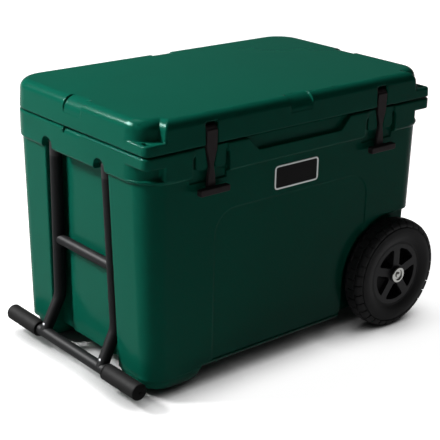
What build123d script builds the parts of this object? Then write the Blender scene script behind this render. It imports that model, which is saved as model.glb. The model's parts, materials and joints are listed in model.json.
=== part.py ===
from build123d import *
import os

# Hard cooler on two wheels with a folding pull handle: a double-walled, foam-filled tub and lid.
#
# Frame: millimetres, +Z up, X along the length with the pull handle at -X and the wheels at +X,
# Y along the depth with the latches at -Y, Z = 0 on the ground.

# ---- driving dimensions -------------------------------------------------------------------------
RIM_LENGTH = 668.4
RIM_DEPTH = 418.6
LID_TOP = 495.0
LID_BOTTOM = 443.5
LID_DRAFT = 3.3
LID_EDGE_R = 18.0
RIM_TOP = 440.5
BAND_BOTTOM = 390.0
BASE = 36.0

WHEEL_R = 107.5
WHEEL_X = 250.6
WHEEL_Z = WHEEL_R
WHEEL_WIDTH = 47.0
WHEEL_MID_Y = 209.5
TYRE_LUGS = 32

HINGE_Y = 211.6
HINGE_Z = 442.0

LATCH_X = 200.0
LATCH_PIN_Y = -200.0
LATCH_PIN_Z = 468.0

HANDLE_PIVOT_X = -316.0
HANDLE_PIVOT_Y = 79.0
HANDLE_PIVOT_Z = 398.0
HANDLE_BAR_X = -342.9
HANDLE_BAR_Z = 36.6

SKIN = 5.0

# ---- sizes worked out from them -----------------------------------------------------------------
RIM_X = RIM_LENGTH / 2
RIM_Y = RIM_DEPTH / 2
BACK_CORNER_R = 60.0
TAB_CORNER_R = 14.0

WALL_TOP = (RIM_LENGTH - 14, RIM_DEPTH - 18)
WALL_BASE = (633.0, 396.0)
WALL_CORNER_R = 42.0
BASE_CORNER_R = 35.0
BASE_FILLET = 10.0


def wall_x(z):
    """Outer face of the end walls at a height."""
    part_way = (z - BASE) / (BAND_BOTTOM - BASE)
    return (WALL_BASE[0] + part_way * (WALL_TOP[0] - WALL_BASE[0])) / 2


def wall_y(z):
    """Outer face of the front and back walls at a height."""
    part_way = (z - BASE) / (BAND_BOTTOM - BASE)
    return (WALL_BASE[1] + part_way * (WALL_TOP[1] - WALL_BASE[1])) / 2


# padlock corner: the front corners stay square as a tab, and are bitten away above and below it
TAB_LOW = 421.0
TAB_HIGH = 461.0
BITE_R = 44.0
BITE_FRONT_Y = -191.5
BITE_STEP_X = 295.0
BITE_STEP_R = 5.0
SOFT_EDGE = 3.0
BITE_FLOOR = 397.0
LIP_CORNER_R = 61.0
PADLOCK_HOLE = (321.0, -192.0)
PADLOCK_SLOT = (15.0, 9.0)

# inside of the tub
MOUTH = (540.0, 290.0, 36.0)
FLOOR = (516.0, 276.0, 30.0)
FLOOR_Z = 140.0

# name plate
PLATE = (104.0, 44.0)
PLATE_Z = 354.0
PLATE_BACK_Y = 199.0
PLATE_THICK = 2.2
PLATE_CORNER_R = 7.0

# feet under the handle end
FOOT_X = (-316.0, -206.0)
FOOT_Y = (104.0, 198.0)
FOOT_END_R = 34.0
FOOT_FLANK_R = 38.0
FOOT_INNER_Y = 130.0
FOOT_BOTTOM = 1.5
PAD = (40.0, 24.0)
PAD_PLACE = (-258.0, 146.0)
PAD_POCKET = 5.0

# wheel arch
ARCH_R = 116.5
ARCH_INNER_Y = 170.0
ARCH_ROUND = 20.0
ARCH_TOP = WHEEL_Z + ARCH_R
ARCH_X = WHEEL_X - ARCH_R
ARCH_TOE_R = 25.0

# axle and wheel fixings
AXLE_R = 8.0
AXLE_END_Y = 232.0
AXLE_BUSH_R = 11.0
AXLE_BUSH_LENGTH = 24.0
SPACER_R = 13.0
HUB_BOSS_R = 16.0
HUB_BOSS_HALF = 20.5
WHEEL_BUSH_R = 10.5
HUB_RIM_R = 62.0
CAP_OUTER_Y = 236.5

# handle end recess
RECESS_HALF = 63.5
GROOVE_OUTER = 95.0
GROOVE_FLOOR_X = -293.0
GROOVE_TOP = 412.0
GROOVE_SPLAY = 0.022
PANEL_FLOOR_TOP_X = -305.5
PANEL_FLOOR_BASE_X = -298.1
PIN_SEAT = 7.0

# latches
STRAP_WIDTH = 22.0
STRAP_FRONT_Y = -209.8
STRAP_BACK_Y = -202.8
LATCH_PIN_R = 3.0
LATCH_EYE_R = 7.6
LATCH_SLOT_WIDTH = 27.0
LATCH_SLOT_TOP = 482.0
LATCH_SLOT_FLOOR_Y = -189.0
NECK_WIDTH = 9.0
NECK_Z = 408.0
TBAR_Z = 367.5
TBAR = (62.0, 12.5, 11.5)
KEEPER_HALF = 35.0
KEEPER_LOBE = 24.5
KEEPER_FACE_Y = -207.0
KEEPER_FLOOR_Y = -197.0

# front panel and finger recess
PANEL_HALF = 183.0
PANEL_TOP = 321.0
FINGER_LOW = 416.5
KEEPER_LOW = 400.0

# drain
DRAIN_Z = 153.0
DRAIN_R = 14.0
DRAIN_SEAT_R = 27.0
DRAIN_SEAT_X = 312.0

# hinge
KNUCKLE_R = 8.5
KNUCKLE_RELIEF_R = 9.3
HINGE_PIN_R = 3.0
RUNNING = 0.06
HINGE_X = 200.0
KNUCKLE_LENGTHS = (36.0, 48.0, 36.0)
KNUCKLE_GAP = 0.6

BOTH_SIDES = (("front", -1), ("back", 1))
LEFT_RIGHT = (("left", -1), ("right", 1))

os.makedirs("parts", exist_ok=True)


def write(part, node):
    """Label one finished piece and write it as parts/NODE.step."""
    part.label = node
    export_step(part, f"parts/{node}.step")


# ---- shared outlines ----------------------------------------------------------------------------
def rim_outline():
    """Rounded rectangle of the rim with nearly square front corners for the padlock tabs."""
    with BuildSketch() as outline:
        Rectangle(RIM_LENGTH, RIM_DEPTH)
        corners = outline.vertices().sort_by(Axis.Y)
        fillet(corners[:2], TAB_CORNER_R)
        fillet(outline.vertices().group_by(Axis.Y)[-1], BACK_CORNER_R)
    return outline.sketch


def inner_outline():
    """Rounded rectangle set back from the front: what is left of the corners behind the bites."""
    with BuildSketch() as outline:
        with Locations((0, (RIM_Y + BITE_FRONT_Y) / 2)):
            Rectangle(RIM_LENGTH, RIM_Y - BITE_FRONT_Y)
        fillet(outline.vertices().group_by(Axis.Y)[0], BITE_R)
        fillet(outline.vertices().group_by(Axis.Y)[-1], BACK_CORNER_R)
    return outline.sketch


def bitten_outline():
    """The inner outline with the front face added between the two bites."""
    with BuildSketch() as outline:
        add(inner_outline())
        with Locations((0, -RIM_Y / 2)):
            Rectangle(2 * BITE_STEP_X, RIM_Y)
        fillet(outline.vertices().group_by(Axis.Y)[0], BITE_STEP_R)
    return outline.sketch


def padlock_slots():
    """Oblong holes through the two front corner tabs."""
    with BuildSketch() as slots:
        for side in (-1, 1):
            with Locations((side * PADLOCK_HOLE[0], PADLOCK_HOLE[1])):
                SlotOverall(PADLOCK_SLOT[0], PADLOCK_SLOT[1], rotation=90)
    return slots.sketch


def knuckle_spans(wanted):
    """Middle and length along X of the knuckles of one leaf: the middle one (1) or the outer two (0)."""
    spans = []
    for side in (-1, 1):
        start = side * HINGE_X - sum(KNUCKLE_LENGTHS) / 2
        for index, length in enumerate(KNUCKLE_LENGTHS):
            if index % 2 == wanted:
                spans.append((start + length / 2, length - KNUCKLE_GAP))
            start += length
    return spans


# ---- tub ----------------------------------------------------------------------------------------
def make_tub_shell():
    """One rotationally moulded skin: outer walls, rim band, feet, wheel arches and liner."""
    tabs = tab_layer()
    recess = handle_recess()
    end_cuts = handle_end_cuts()
    front_cuts = front_recesses()
    arches = wheel_arches()
    feet = both_feet()
    knuckles = hinge_knuckles(1, -1)
    knuckle_reliefs = hinge_reliefs(1)
    foam = tub_foam_block()
    with BuildPart() as shell:
        # rim band: a rounded lower lip, the bitten corners and the square padlock tabs
        with BuildSketch(Plane.XY.offset(BAND_BOTTOM)) as lip:
            Rectangle(RIM_LENGTH, RIM_DEPTH)
            fillet(lip.vertices().group_by(Axis.Y)[0], LIP_CORNER_R)
            fillet(lip.vertices().group_by(Axis.Y)[-1], BACK_CORNER_R)
        extrude(amount=BITE_FLOOR - BAND_BOTTOM)
        fillet(shell.edges().group_by(Axis.Z)[0], 6)
        with BuildSketch(Plane.XY.offset(BITE_FLOOR)):
            add(bitten_outline())
        extrude(amount=RIM_TOP - BITE_FLOOR)
        add(tabs)
        fillet(shell.edges().group_by(Axis.Z)[-1], SOFT_EDGE)
        with BuildSketch(Plane.XY.offset(TAB_LOW - 1)):
            add(padlock_slots())
        extrude(amount=RIM_TOP - TAB_LOW + 2, mode=Mode.SUBTRACT)
        # tapering walls
        with BuildSketch(Plane.XY.offset(BASE)):
            RectangleRounded(WALL_BASE[0], WALL_BASE[1], BASE_CORNER_R)
        with BuildSketch(Plane.XY.offset(BAND_BOTTOM)):
            RectangleRounded(WALL_TOP[0], WALL_TOP[1], WALL_CORNER_R)
        loft(ruled=True)
        fillet(shell.edges().group_by(Axis.Z)[0], BASE_FILLET)
        # handle end, with soft edges where the outer walls meet the grooves
        add(recess, mode=Mode.SUBTRACT)
        fillet(shell.edges().filter_by(groove_edge), SOFT_EDGE)
        add(end_cuts, mode=Mode.SUBTRACT)
        add(front_cuts, mode=Mode.SUBTRACT)
        add(arches, mode=Mode.SUBTRACT)
        add(feet)
        add(knuckles)
        add(knuckle_reliefs, mode=Mode.SUBTRACT)
        # storage space
        with BuildSketch(Plane.XY.offset(FLOOR_Z)):
            RectangleRounded(*FLOOR)
        with BuildSketch(Plane.XY.offset(RIM_TOP)):
            RectangleRounded(*MOUTH)
        loft(ruled=True, mode=Mode.SUBTRACT)
        # axle tunnel, drain hole and its seat
        with BuildSketch(along_axle(ARCH_INNER_Y)):
            Circle(AXLE_BUSH_R)
        extrude(amount=2 * ARCH_INNER_Y, mode=Mode.SUBTRACT)
        with BuildSketch(on_drain(FLOOR[0] / 2 - 1)):
            Circle(DRAIN_R)
        extrude(amount=100, mode=Mode.SUBTRACT)
        with BuildSketch(on_drain(DRAIN_SEAT_X)):
            Circle(DRAIN_SEAT_R)
        extrude(amount=30, mode=Mode.SUBTRACT)
        add(foam, mode=Mode.SUBTRACT)
    return shell.part


def tab_layer():
    """Top layer of the rim: its front corners overhang the bites as the padlock tabs."""
    with BuildPart() as layer:
        with BuildSketch(Plane.XY.offset(TAB_LOW)):
            add(rim_outline())
        extrude(amount=RIM_TOP - TAB_LOW)
        fillet(layer.edges().group_by(Axis.Z)[0], SOFT_EDGE)
    return layer.part


def handle_recess():
    """Shallow panel and two deep grooves that the folded handle lies in, with notches in the band."""
    outside = -RIM_X - 10
    below = BASE - 10
    spring = GROOVE_TOP - (GROOVE_OUTER - RECESS_HALF) / 2
    foot_y = GROOVE_OUTER + GROOVE_SPLAY * (spring - below)
    with BuildPart() as recess:
        with BuildSketch(Plane.XZ):
            Polygon(
                (outside, below),
                (PANEL_FLOOR_BASE_X, below),
                (PANEL_FLOOR_TOP_X, BAND_BOTTOM),
                (outside, BAND_BOTTOM),
                align=None,
            )
        extrude(amount=RECESS_HALF, both=True)
        with BuildSketch(Plane.YZ.offset(outside)):
            with BuildLine():
                Line((RECESS_HALF, below), (foot_y, below))
                Line((foot_y, below), (GROOVE_OUTER, spring))
                ThreePointArc(
                    (GROOVE_OUTER, spring),
                    ((GROOVE_OUTER + RECESS_HALF) / 2, GROOVE_TOP),
                    (RECESS_HALF, spring),
                )
                Line((RECESS_HALF, spring), (RECESS_HALF, below))
            make_face()
            mirror(about=Plane.YZ)
        extrude(amount=GROOVE_FLOOR_X - outside)
    return recess.part


def groove_edge(edge):
    """True for the long outer edges of the two handle grooves, below the band."""
    at = edge.center()
    on_side = GROOVE_OUTER - 1 < abs(at.Y) < GROOVE_OUTER + 14
    return on_side and at.X < GROOVE_FLOOR_X - 10 and edge.length > 200


def handle_end_cuts():
    """Rounded toe between the feet, seats of the handle pins and strap notches in the rim."""
    outside = RIM_X + 2
    toe = 32.0
    toe_x = -wall_x(BASE) + toe
    notch = 12.0
    with BuildPart() as cuts:
        with BuildSketch(Plane.XZ):
            with BuildLine():
                Line((-outside, BASE - 10), (toe_x, BASE - 10))
                Line((toe_x, BASE - 10), (toe_x, BASE))
                CenterArc((toe_x, BASE + toe), toe, 180, 90)
                Line((toe_x - toe, BASE + toe), (-outside, BASE + toe))
                Line((-outside, BASE + toe), (-outside, BASE - 10))
            make_face()
        extrude(amount=FOOT_Y[0], both=True)
        for side in (-1, 1):
            with BuildSketch(on_pivot(side)):
                Circle(HANDLE_PIN_R)
            extrude(amount=GROOVE_OUTER - RECESS_HALF + 2 * PIN_SEAT)
            with BuildSketch(Plane.XZ):
                Polygon(
                    (side * (RIM_X - notch), RIM_TOP + 1),
                    (side * (RIM_X - notch), RIM_TOP),
                    (side * (RIM_X - notch / 3), RIM_TOP - notch / 4),
                    (side * RIM_X, RIM_TOP - notch),
                    (side * outside, RIM_TOP - notch),
                    (side * outside, RIM_TOP + 1),
                    align=None,
                )
            extrude(amount=26, both=True)
    return cuts.part


def keeper_pocket(x):
    """Pocket below and beside the two rounded lobes that a latch's neck passes between."""
    low = KEEPER_LOW - 20
    high = KEEPER_LOW + 30
    lobe_low = KEEPER_LOW + 2
    inner = 7.5
    with BuildSketch() as pocket:
        with Locations((x, (low + high) / 2)):
            Rectangle(2 * KEEPER_HALF + 8, high - low)
        fillet(pocket.vertices().group_by(Axis.Y)[-1], 8)
        for side in (-1, 1):
            with BuildSketch(mode=Mode.SUBTRACT) as lobe:
                with Locations((x + side * (inner + KEEPER_LOBE / 2), lobe_low + 30)):
                    Rectangle(KEEPER_LOBE, 60)
                fillet(lobe.vertices().group_by(Axis.Y)[0], 8)
    return pocket.sketch


def front_recesses():
    """Finger recess, latch keepers, the shallow front panel and the name plate's seat."""
    outside = RIM_Y + 2
    front = Plane.XZ.offset(outside)
    panel_depth = 1.6
    slope = (wall_y(BAND_BOTTOM) - wall_y(BASE)) / (BAND_BOTTOM - BASE)
    sunk = Plane(
        origin=(0, -wall_y(BAND_BOTTOM) + panel_depth, BAND_BOTTOM),
        x_dir=(1, 0, 0),
        z_dir=(0, -1, -slope),
    )
    panel_top = PANEL_TOP - BAND_BOTTOM
    panel_low = BASE + BASE_FILLET - BAND_BOTTOM
    with BuildPart() as cuts:
        with BuildSketch(front) as fingers:
            Polygon(
                (-122, RIM_TOP + 1), (122, RIM_TOP + 1), (98, FINGER_LOW), (-98, FINGER_LOW), align=None
            )
            fillet(fingers.vertices().group_by(Axis.Y)[0], 6)
        extrude(amount=-12)
        for side in (-1, 1):
            x = side * LATCH_X
            with BuildSketch(front):
                with Locations((x, (RIM_TOP + 1 + KEEPER_LOW) / 2)):
                    Rectangle(2 * KEEPER_HALF, RIM_TOP + 1 - KEEPER_LOW)
            extrude(amount=-(outside + KEEPER_FACE_Y))
            with BuildSketch(front):
                Polygon(
                    (x - 14, RIM_TOP + 1),
                    (x - 7.5, 404),
                    (x - 7.5, 380),
                    (x + 7.5, 380),
                    (x + 7.5, 404),
                    (x + 14, RIM_TOP + 1),
                    align=None,
                )
            extrude(amount=-(outside + KEEPER_FLOOR_Y))
            with BuildSketch(front):
                add(keeper_pocket(x))
            extrude(amount=-(outside + KEEPER_FLOOR_Y))
        with BuildSketch(sunk) as panel:
            with Locations((0, (panel_top + panel_low) / 2)):
                Rectangle(2 * PANEL_HALF, panel_top - panel_low)
            fillet(panel.vertices().group_by(Axis.Y)[-1], 45)
        extrude(amount=10)
        with BuildSketch(Plane.XZ.offset(PLATE_BACK_Y)):
            with Locations((0, PLATE_Z)):
                RectangleRounded(PLATE[0], PLATE[1], PLATE_CORNER_R)
        extrude(amount=5)
    return cuts.part


def wheel_arches():
    """Arches open to the side, to the end and to the ground, one at each end of the axle."""
    end = wall_x(ARCH_TOP + ARCH_ROUND)
    outside = end + 40
    depth = 80.0
    with BuildPart() as arches:
        with BuildSketch(Plane.XZ.offset(ARCH_INNER_Y)):
            with BuildLine():
                Line((ARCH_X - ARCH_TOE_R, BASE - 10), (ARCH_X - ARCH_TOE_R, BASE))
                CenterArc((ARCH_X - ARCH_TOE_R, BASE + ARCH_TOE_R), ARCH_TOE_R, 270, 90)
                Line((ARCH_X, BASE + ARCH_TOE_R), (ARCH_X, WHEEL_Z))
                CenterArc((WHEEL_X, WHEEL_Z), ARCH_R, 90, 90)
                Line((WHEEL_X, ARCH_TOP), (end - ARCH_ROUND, ARCH_TOP))
                CenterArc((end - ARCH_ROUND, ARCH_TOP + ARCH_ROUND), ARCH_ROUND, 270, 90)
                Line((end, ARCH_TOP + ARCH_ROUND), (outside, ARCH_TOP + ARCH_ROUND))
                Line((outside, ARCH_TOP + ARCH_ROUND), (outside, BASE - 10))
                Line((outside, BASE - 10), (ARCH_X - ARCH_TOE_R, BASE - 10))
            make_face()
        extrude(amount=depth)
        mirror(about=Plane.XZ)
    return arches.part


def both_feet():
    """Two moulded feet under the handle end, each with a pocket for its rubber pad."""
    top = BASE + BASE_FILLET
    end_r = FOOT_END_R
    flank_r = FOOT_FLANK_R
    with BuildPart() as feet:
        with BuildSketch(Plane.XY.offset(FOOT_BOTTOM)):
            RectangleRounded(WALL_BASE[0], WALL_BASE[1], BASE_CORNER_R)
        extrude(amount=top - FOOT_BOTTOM)
        with BuildSketch(Plane.XZ):
            with BuildLine():
                Line((FOOT_X[0], top), (FOOT_X[0], FOOT_BOTTOM + end_r))
                CenterArc((FOOT_X[0] + end_r, FOOT_BOTTOM + end_r), end_r, 180, 90)
                Line((FOOT_X[0] + end_r, FOOT_BOTTOM), (FOOT_X[1] - end_r, FOOT_BOTTOM))
                CenterArc((FOOT_X[1] - end_r, FOOT_BOTTOM + end_r), end_r, 270, 90)
                Line((FOOT_X[1], FOOT_BOTTOM + end_r), (FOOT_X[1], top))
                Line((FOOT_X[1], top), (FOOT_X[0], top))
            make_face()
        extrude(amount=FOOT_Y[1], both=True, mode=Mode.INTERSECT)
        with BuildSketch(Plane.YZ.offset(FOOT_X[0] - 1)):
            with BuildLine():
                Line((FOOT_Y[0], top), (FOOT_Y[0], BASE))
                Line((FOOT_Y[0], BASE), (FOOT_INNER_Y, FOOT_BOTTOM))
                Line((FOOT_INNER_Y, FOOT_BOTTOM), (FOOT_Y[1] - flank_r, FOOT_BOTTOM))
                CenterArc((FOOT_Y[1] - flank_r, FOOT_BOTTOM + flank_r), flank_r, 270, 90)
                Line((FOOT_Y[1], FOOT_BOTTOM + flank_r), (FOOT_Y[1], top))
                Line((FOOT_Y[1], top), (FOOT_Y[0], top))
            make_face()
            mirror(about=Plane.YZ)
        extrude(amount=FOOT_X[1] - FOOT_X[0] + 2, mode=Mode.INTERSECT)
        with BuildSketch(Plane.XY.offset(FOOT_BOTTOM)):
            with Locations((PAD_PLACE[0], PAD_PLACE[1]), (PAD_PLACE[0], -PAD_PLACE[1])):
                RectangleRounded(PAD[0], PAD[1], 8)
        extrude(amount=PAD_POCKET, mode=Mode.SUBTRACT)
    return feet.part


def hinge_knuckles(wanted, up):
    """Webs and barrels of one leaf of both hinges; up is +1 for the lid's leaf, -1 for the tub's.

    The tub has the middle knuckle of each hinge (wanted = 1), the lid the two outer ones (wanted = 0).
    """
    seat = RIM_Y - 12
    bore = HINGE_PIN_R + RUNNING if up < 0 else HINGE_PIN_R
    with BuildPart() as leaf:
        for middle, length in knuckle_spans(wanted):
            with BuildSketch(Plane.YZ.offset(middle - length / 2)):
                Polygon(
                    (seat, HINGE_Z + up * 1.5),
                    (HINGE_Y + KNUCKLE_R, HINGE_Z + up * 1.5),
                    (HINGE_Y + KNUCKLE_R, HINGE_Z + up * 8),
                    (RIM_Y, HINGE_Z + up * 19),
                    (seat, HINGE_Z + up * 19),
                    align=None,
                )
                with Locations((HINGE_Y, HINGE_Z)):
                    Circle(KNUCKLE_R)
                    Circle(bore, mode=Mode.SUBTRACT)
            extrude(amount=length)
    return leaf.part


def hinge_reliefs(wanted):
    """Round clearances for the knuckles of the other leaf."""
    other = 1 - wanted
    with BuildPart() as reliefs:
        for middle, length in knuckle_spans(other):
            with BuildSketch(Plane.YZ.offset(middle - length / 2 - KNUCKLE_GAP)):
                with Locations((HINGE_Y, HINGE_Z)):
                    Circle(KNUCKLE_RELIEF_R)
            extrude(amount=length + 2 * KNUCKLE_GAP)
    return reliefs.part


def tub_foam_block():
    """Poured foam that fills the space between the outer walls and the liner."""
    foam_left = GROOVE_FLOOR_X + 7
    low = BASE + 10
    high = 425.0
    step = ARCH_TOP + SKIN + 1
    with BuildPart() as foam:
        upper = (foam_left, wall_x(step) - 8)
        with BuildSketch(Plane.XY.offset(step)):
            with Locations(((upper[0] + upper[1]) / 2, 0)):
                RectangleRounded(upper[1] - upper[0], 2 * (wall_y(step) - 8), 34)
        extrude(amount=high - step)
        lower = (foam_left, ARCH_X - SKIN - 2)
        with BuildSketch(Plane.XY.offset(low)):
            with Locations(((lower[0] + lower[1]) / 2, 0)):
                RectangleRounded(lower[1] - lower[0], 2 * (wall_y(low) - 8), 24)
        extrude(amount=step - low)
        between = (lower[1] - 40, wall_x(low) - 8)
        with BuildSketch(Plane.XY.offset(low)):
            with Locations(((between[0] + between[1]) / 2, 0)):
                Rectangle(between[1] - between[0], 2 * (ARCH_INNER_Y - SKIN))
        extrude(amount=step - low)
        # liner
        with BuildSketch(Plane.XY.offset(FLOOR_Z - SKIN)):
            RectangleRounded(MOUTH[0] + 2 * SKIN, MOUTH[1] + 2 * SKIN, MOUTH[2] + SKIN)
        extrude(amount=high - FLOOR_Z + SKIN, mode=Mode.SUBTRACT)
        # axle tunnel and drain hole keep their own skin
        tunnel = AXLE_BUSH_R + SKIN
        with BuildSketch(along_axle(ARCH_INNER_Y)):
            Circle(tunnel)
        extrude(amount=2 * ARCH_INNER_Y, mode=Mode.SUBTRACT)
        with BuildSketch(on_drain(MOUTH[0] / 2)):
            Rectangle(64, 64)
        extrude(amount=80, mode=Mode.SUBTRACT)
    return foam.part


def make_foot_pad(side):
    """Rubber pad pressed into the bottom of one foot."""
    with BuildPart() as pad:
        with BuildSketch():
            with Locations((PAD_PLACE[0], side * PAD_PLACE[1])):
                RectangleRounded(PAD[0], PAD[1], 8)
        extrude(amount=FOOT_BOTTOM + PAD_POCKET)
        fillet(pad.edges().group_by(Axis.Z)[0], 1)
    return pad.part


def make_name_plate():
    """Blank plate in the front wall."""
    with BuildPart() as plate:
        with BuildSketch(Plane.XZ.offset(PLATE_BACK_Y)):
            with Locations((0, PLATE_Z)):
                RectangleRounded(PLATE[0], PLATE[1], PLATE_CORNER_R)
        extrude(amount=PLATE_THICK)
        fillet(plate.edges().group_by(Axis.Y)[0], 0.6)
    return plate.part


# ---- axle and wheels ----------------------------------------------------------------------------
def along_axle(y):
    """Plane at a distance along Y, centred on the axle and facing -Y."""
    return Plane(origin=(WHEEL_X, y, WHEEL_Z), x_dir=(1, 0, 0), z_dir=(0, -1, 0))


def ring_along_axle(outer, inner, y_from, y_to):
    """Tube round the axle between two places along Y, from the higher to the lower."""
    with BuildPart() as ring:
        with BuildSketch(along_axle(max(y_from, y_to))):
            Circle(outer)
            if inner:
                Circle(inner, mode=Mode.SUBTRACT)
        extrude(amount=abs(y_to - y_from))
    return ring.part


def make_axle():
    with BuildPart() as axle:
        with BuildSketch(along_axle(AXLE_END_Y)):
            Circle(AXLE_R)
        extrude(amount=2 * AXLE_END_Y)
        chamfer(axle.edges().filter_by(GeomType.CIRCLE), 1)
    return axle.part


def make_hub_cap(side):
    """Pressed steel push cap on the end of the axle: a rounded rim round a domed centre."""
    flange = WHEEL_MID_Y + HUB_BOSS_HALF + 0.4
    rim_height = CAP_OUTER_Y - flange - 1
    with BuildPart() as cap:
        with BuildSketch(along_axle(-flange)):
            Circle(HUB_BOSS_R - 0.3)
        extrude(amount=rim_height)
        fillet(cap.edges().group_by(Axis.Y)[0], 2)
        with BuildSketch(along_axle(-flange - 2)):
            Circle(AXLE_R + 2.8)
        extrude(amount=rim_height, mode=Mode.SUBTRACT)
        with BuildSketch(along_axle(-flange)):
            Circle(AXLE_R + 0.8)
        extrude(amount=CAP_OUTER_Y - flange)
        fillet(cap.edges().group_by(Axis.Y)[0], 2.5)
        with BuildSketch(along_axle(-flange)):
            Circle(AXLE_R)
        extrude(amount=AXLE_END_Y - flange, mode=Mode.SUBTRACT)
        if side > 0:
            mirror(about=Plane.XZ, mode=Mode.REPLACE)
    return cap.part


def make_tyre(side):
    """Solid tyre: domed side walls, a grooved shoulder and a crowned tread notched into lugs."""
    half = WHEEL_WIDTH / 2
    bead = 18.0
    shoulder = WHEEL_R - 9
    with BuildPart() as tyre:
        with BuildSketch(Plane(origin=(WHEEL_X, 0, WHEEL_Z), x_dir=(1, 0, 0), z_dir=(0, 0, 1))):
            with BuildLine():
                Line((HUB_RIM_R, 0), (HUB_RIM_R, bead))
                Line((HUB_RIM_R, bead), (66, bead))
                ThreePointArc((66, bead), (79, half - 0.6), (shoulder - 4, half - 2))
                Line((shoulder - 4, half - 2), (shoulder - 4, half - 3.6))
                Line((shoulder - 4, half - 3.6), (shoulder - 2, half - 4))
                Line((shoulder - 2, half - 4), (shoulder - 2, half - 2.6))
                ThreePointArc((shoulder - 2, half - 2.6), (WHEEL_R - 3, 16.5), (WHEEL_R - 1.2, 11))
                ThreePointArc((WHEEL_R - 1.2, 11), (WHEEL_R - 0.3, 5.5), (WHEEL_R, 0))
                Line((WHEEL_R, 0), (HUB_RIM_R, 0))
            make_face()
            mirror(about=Plane.XZ)
        revolve(axis=Axis((WHEEL_X, 0, WHEEL_Z), (0, 1, 0)))
        # notches across both shoulders, set half a pitch apart
        for y_from, turn in ((half, 0), (-9, 180 / TYRE_LUGS)):
            with BuildSketch(along_axle(y_from)):
                with PolarLocations(WHEEL_R + 4, TYRE_LUGS, start_angle=turn):
                    Rectangle(15, 4.5)
            extrude(amount=half - 9, mode=Mode.SUBTRACT)
    return tyre.part.moved(Location((0, side * WHEEL_MID_Y, 0)))


def make_hub(side):
    """Moulded hub: a barrel, a face with five spokes and a boss."""
    spokes = 5
    spoke_width = 17.0
    rim_inner = HUB_RIM_R - 10
    web = 10.0
    face = HUB_BOSS_HALF - 3
    with BuildPart() as hub:
        with BuildSketch(along_axle(face)):
            Circle(HUB_RIM_R)
            Circle(HUB_RIM_R - 6, mode=Mode.SUBTRACT)
        extrude(amount=2 * face)
        with BuildSketch(along_axle(web - face)):
            Circle(HUB_RIM_R - 5)
        extrude(amount=web)
        fillet(hub.edges().group_by(Axis.Y)[0].sort_by(SortBy.LENGTH)[-1:], 1)
        with BuildSketch(along_axle(web - face + 1)) as openings:
            Circle(rim_inner)
            Circle(20, mode=Mode.SUBTRACT)
            with PolarLocations(rim_inner / 2 + 10, spokes, start_angle=90):
                Rectangle(rim_inner + 16, spoke_width, mode=Mode.SUBTRACT)
            fillet(openings.vertices(), 3)
        extrude(amount=web + 2, mode=Mode.SUBTRACT)
        with BuildSketch(along_axle(HUB_BOSS_HALF)):
            Circle(HUB_BOSS_R)
        extrude(amount=2 * HUB_BOSS_HALF)
        with BuildSketch(along_axle(HUB_BOSS_HALF)):
            Circle(WHEEL_BUSH_R)
        extrude(amount=2 * HUB_BOSS_HALF, mode=Mode.SUBTRACT)
        if side > 0:
            mirror(about=Plane.XZ, mode=Mode.REPLACE)
    return hub.part.moved(Location((0, side * WHEEL_MID_Y, 0)))


# ---- handle -------------------------------------------------------------------------------------
UPRIGHT_R = 11.1
UPRIGHT_BORE_R = 9.5
UPRIGHT_START_Z = 376.0
BEND_Z = 104.0
UPRIGHT_TILT = 0.023
UPRIGHT_SPLAY = 0.033
CROSSBAR_R = 9.5
CROSSBAR_Z = 217.0
BAR_R = 10.6
GRIP_R = 15.2
GRIP_START = 107.0
GRIP_END = 203.0
HANDLE_PIN_R = 4.0


def upright_point(z, side):
    """Middle of an upright above its bend: it leans in with the wall and splays a little."""
    drop = HANDLE_PIVOT_Z - z
    return Vector(
        HANDLE_PIVOT_X + UPRIGHT_TILT * drop, side * (HANDLE_PIVOT_Y + UPRIGHT_SPLAY * drop), z
    )


def make_upright(side):
    """Bent tube from the pivot knuckle down and out to the grip bar."""
    top = upright_point(UPRIGHT_START_Z, side)
    bend = upright_point(BEND_Z, side)
    foot = Vector(HANDLE_BAR_X, bend.Y + side * 2, HANDLE_BAR_Z)
    with BuildPart() as upright:
        with BuildLine():
            FilletPolyline(top, bend, foot, radius=45)
        with BuildSketch(Plane(origin=top, z_dir=bend - top)):
            Circle(UPRIGHT_R)
            Circle(UPRIGHT_BORE_R, mode=Mode.SUBTRACT)
        sweep()
        with BuildSketch(Plane.XZ.offset(-250)):
            with Locations((HANDLE_BAR_X, HANDLE_BAR_Z)):
                Circle(BAR_R)
        extrude(amount=500, mode=Mode.SUBTRACT)
    return upright.part.solids().sort_by(Axis.Z)[-1]


def make_knuckle(side):
    """Plug with a round head that closes the top of an upright and turns on the pivot pin."""
    head = upright_point(HANDLE_PIVOT_Z, side)
    seat = upright_point(UPRIGHT_START_Z, side)
    down = (seat - head).normalized()
    with BuildPart() as knuckle:
        with BuildSketch(Plane(origin=head, z_dir=down)):
            Circle(UPRIGHT_R)
        extrude(amount=(seat - head).length)
        with BuildSketch(Plane(origin=head, z_dir=down)):
            Circle(UPRIGHT_BORE_R)
        extrude(amount=(seat - head).length + 24)
        with Locations(head):
            Sphere(UPRIGHT_R)
        with BuildSketch(Plane.XZ.offset(-250)):
            with Locations((HANDLE_PIVOT_X, HANDLE_PIVOT_Z)):
                Circle(HANDLE_PIN_R + RUNNING)
        extrude(amount=500, mode=Mode.SUBTRACT)
    return knuckle.part


def on_pivot(side):
    """Plane at the end of one handle pin, facing -Y and centred on the pin."""
    y = GROOVE_OUTER + PIN_SEAT if side > 0 else PIN_SEAT - RECESS_HALF
    return Plane(origin=(HANDLE_PIVOT_X, y, HANDLE_PIVOT_Z), x_dir=(1, 0, 0), z_dir=(0, -1, 0))


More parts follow.
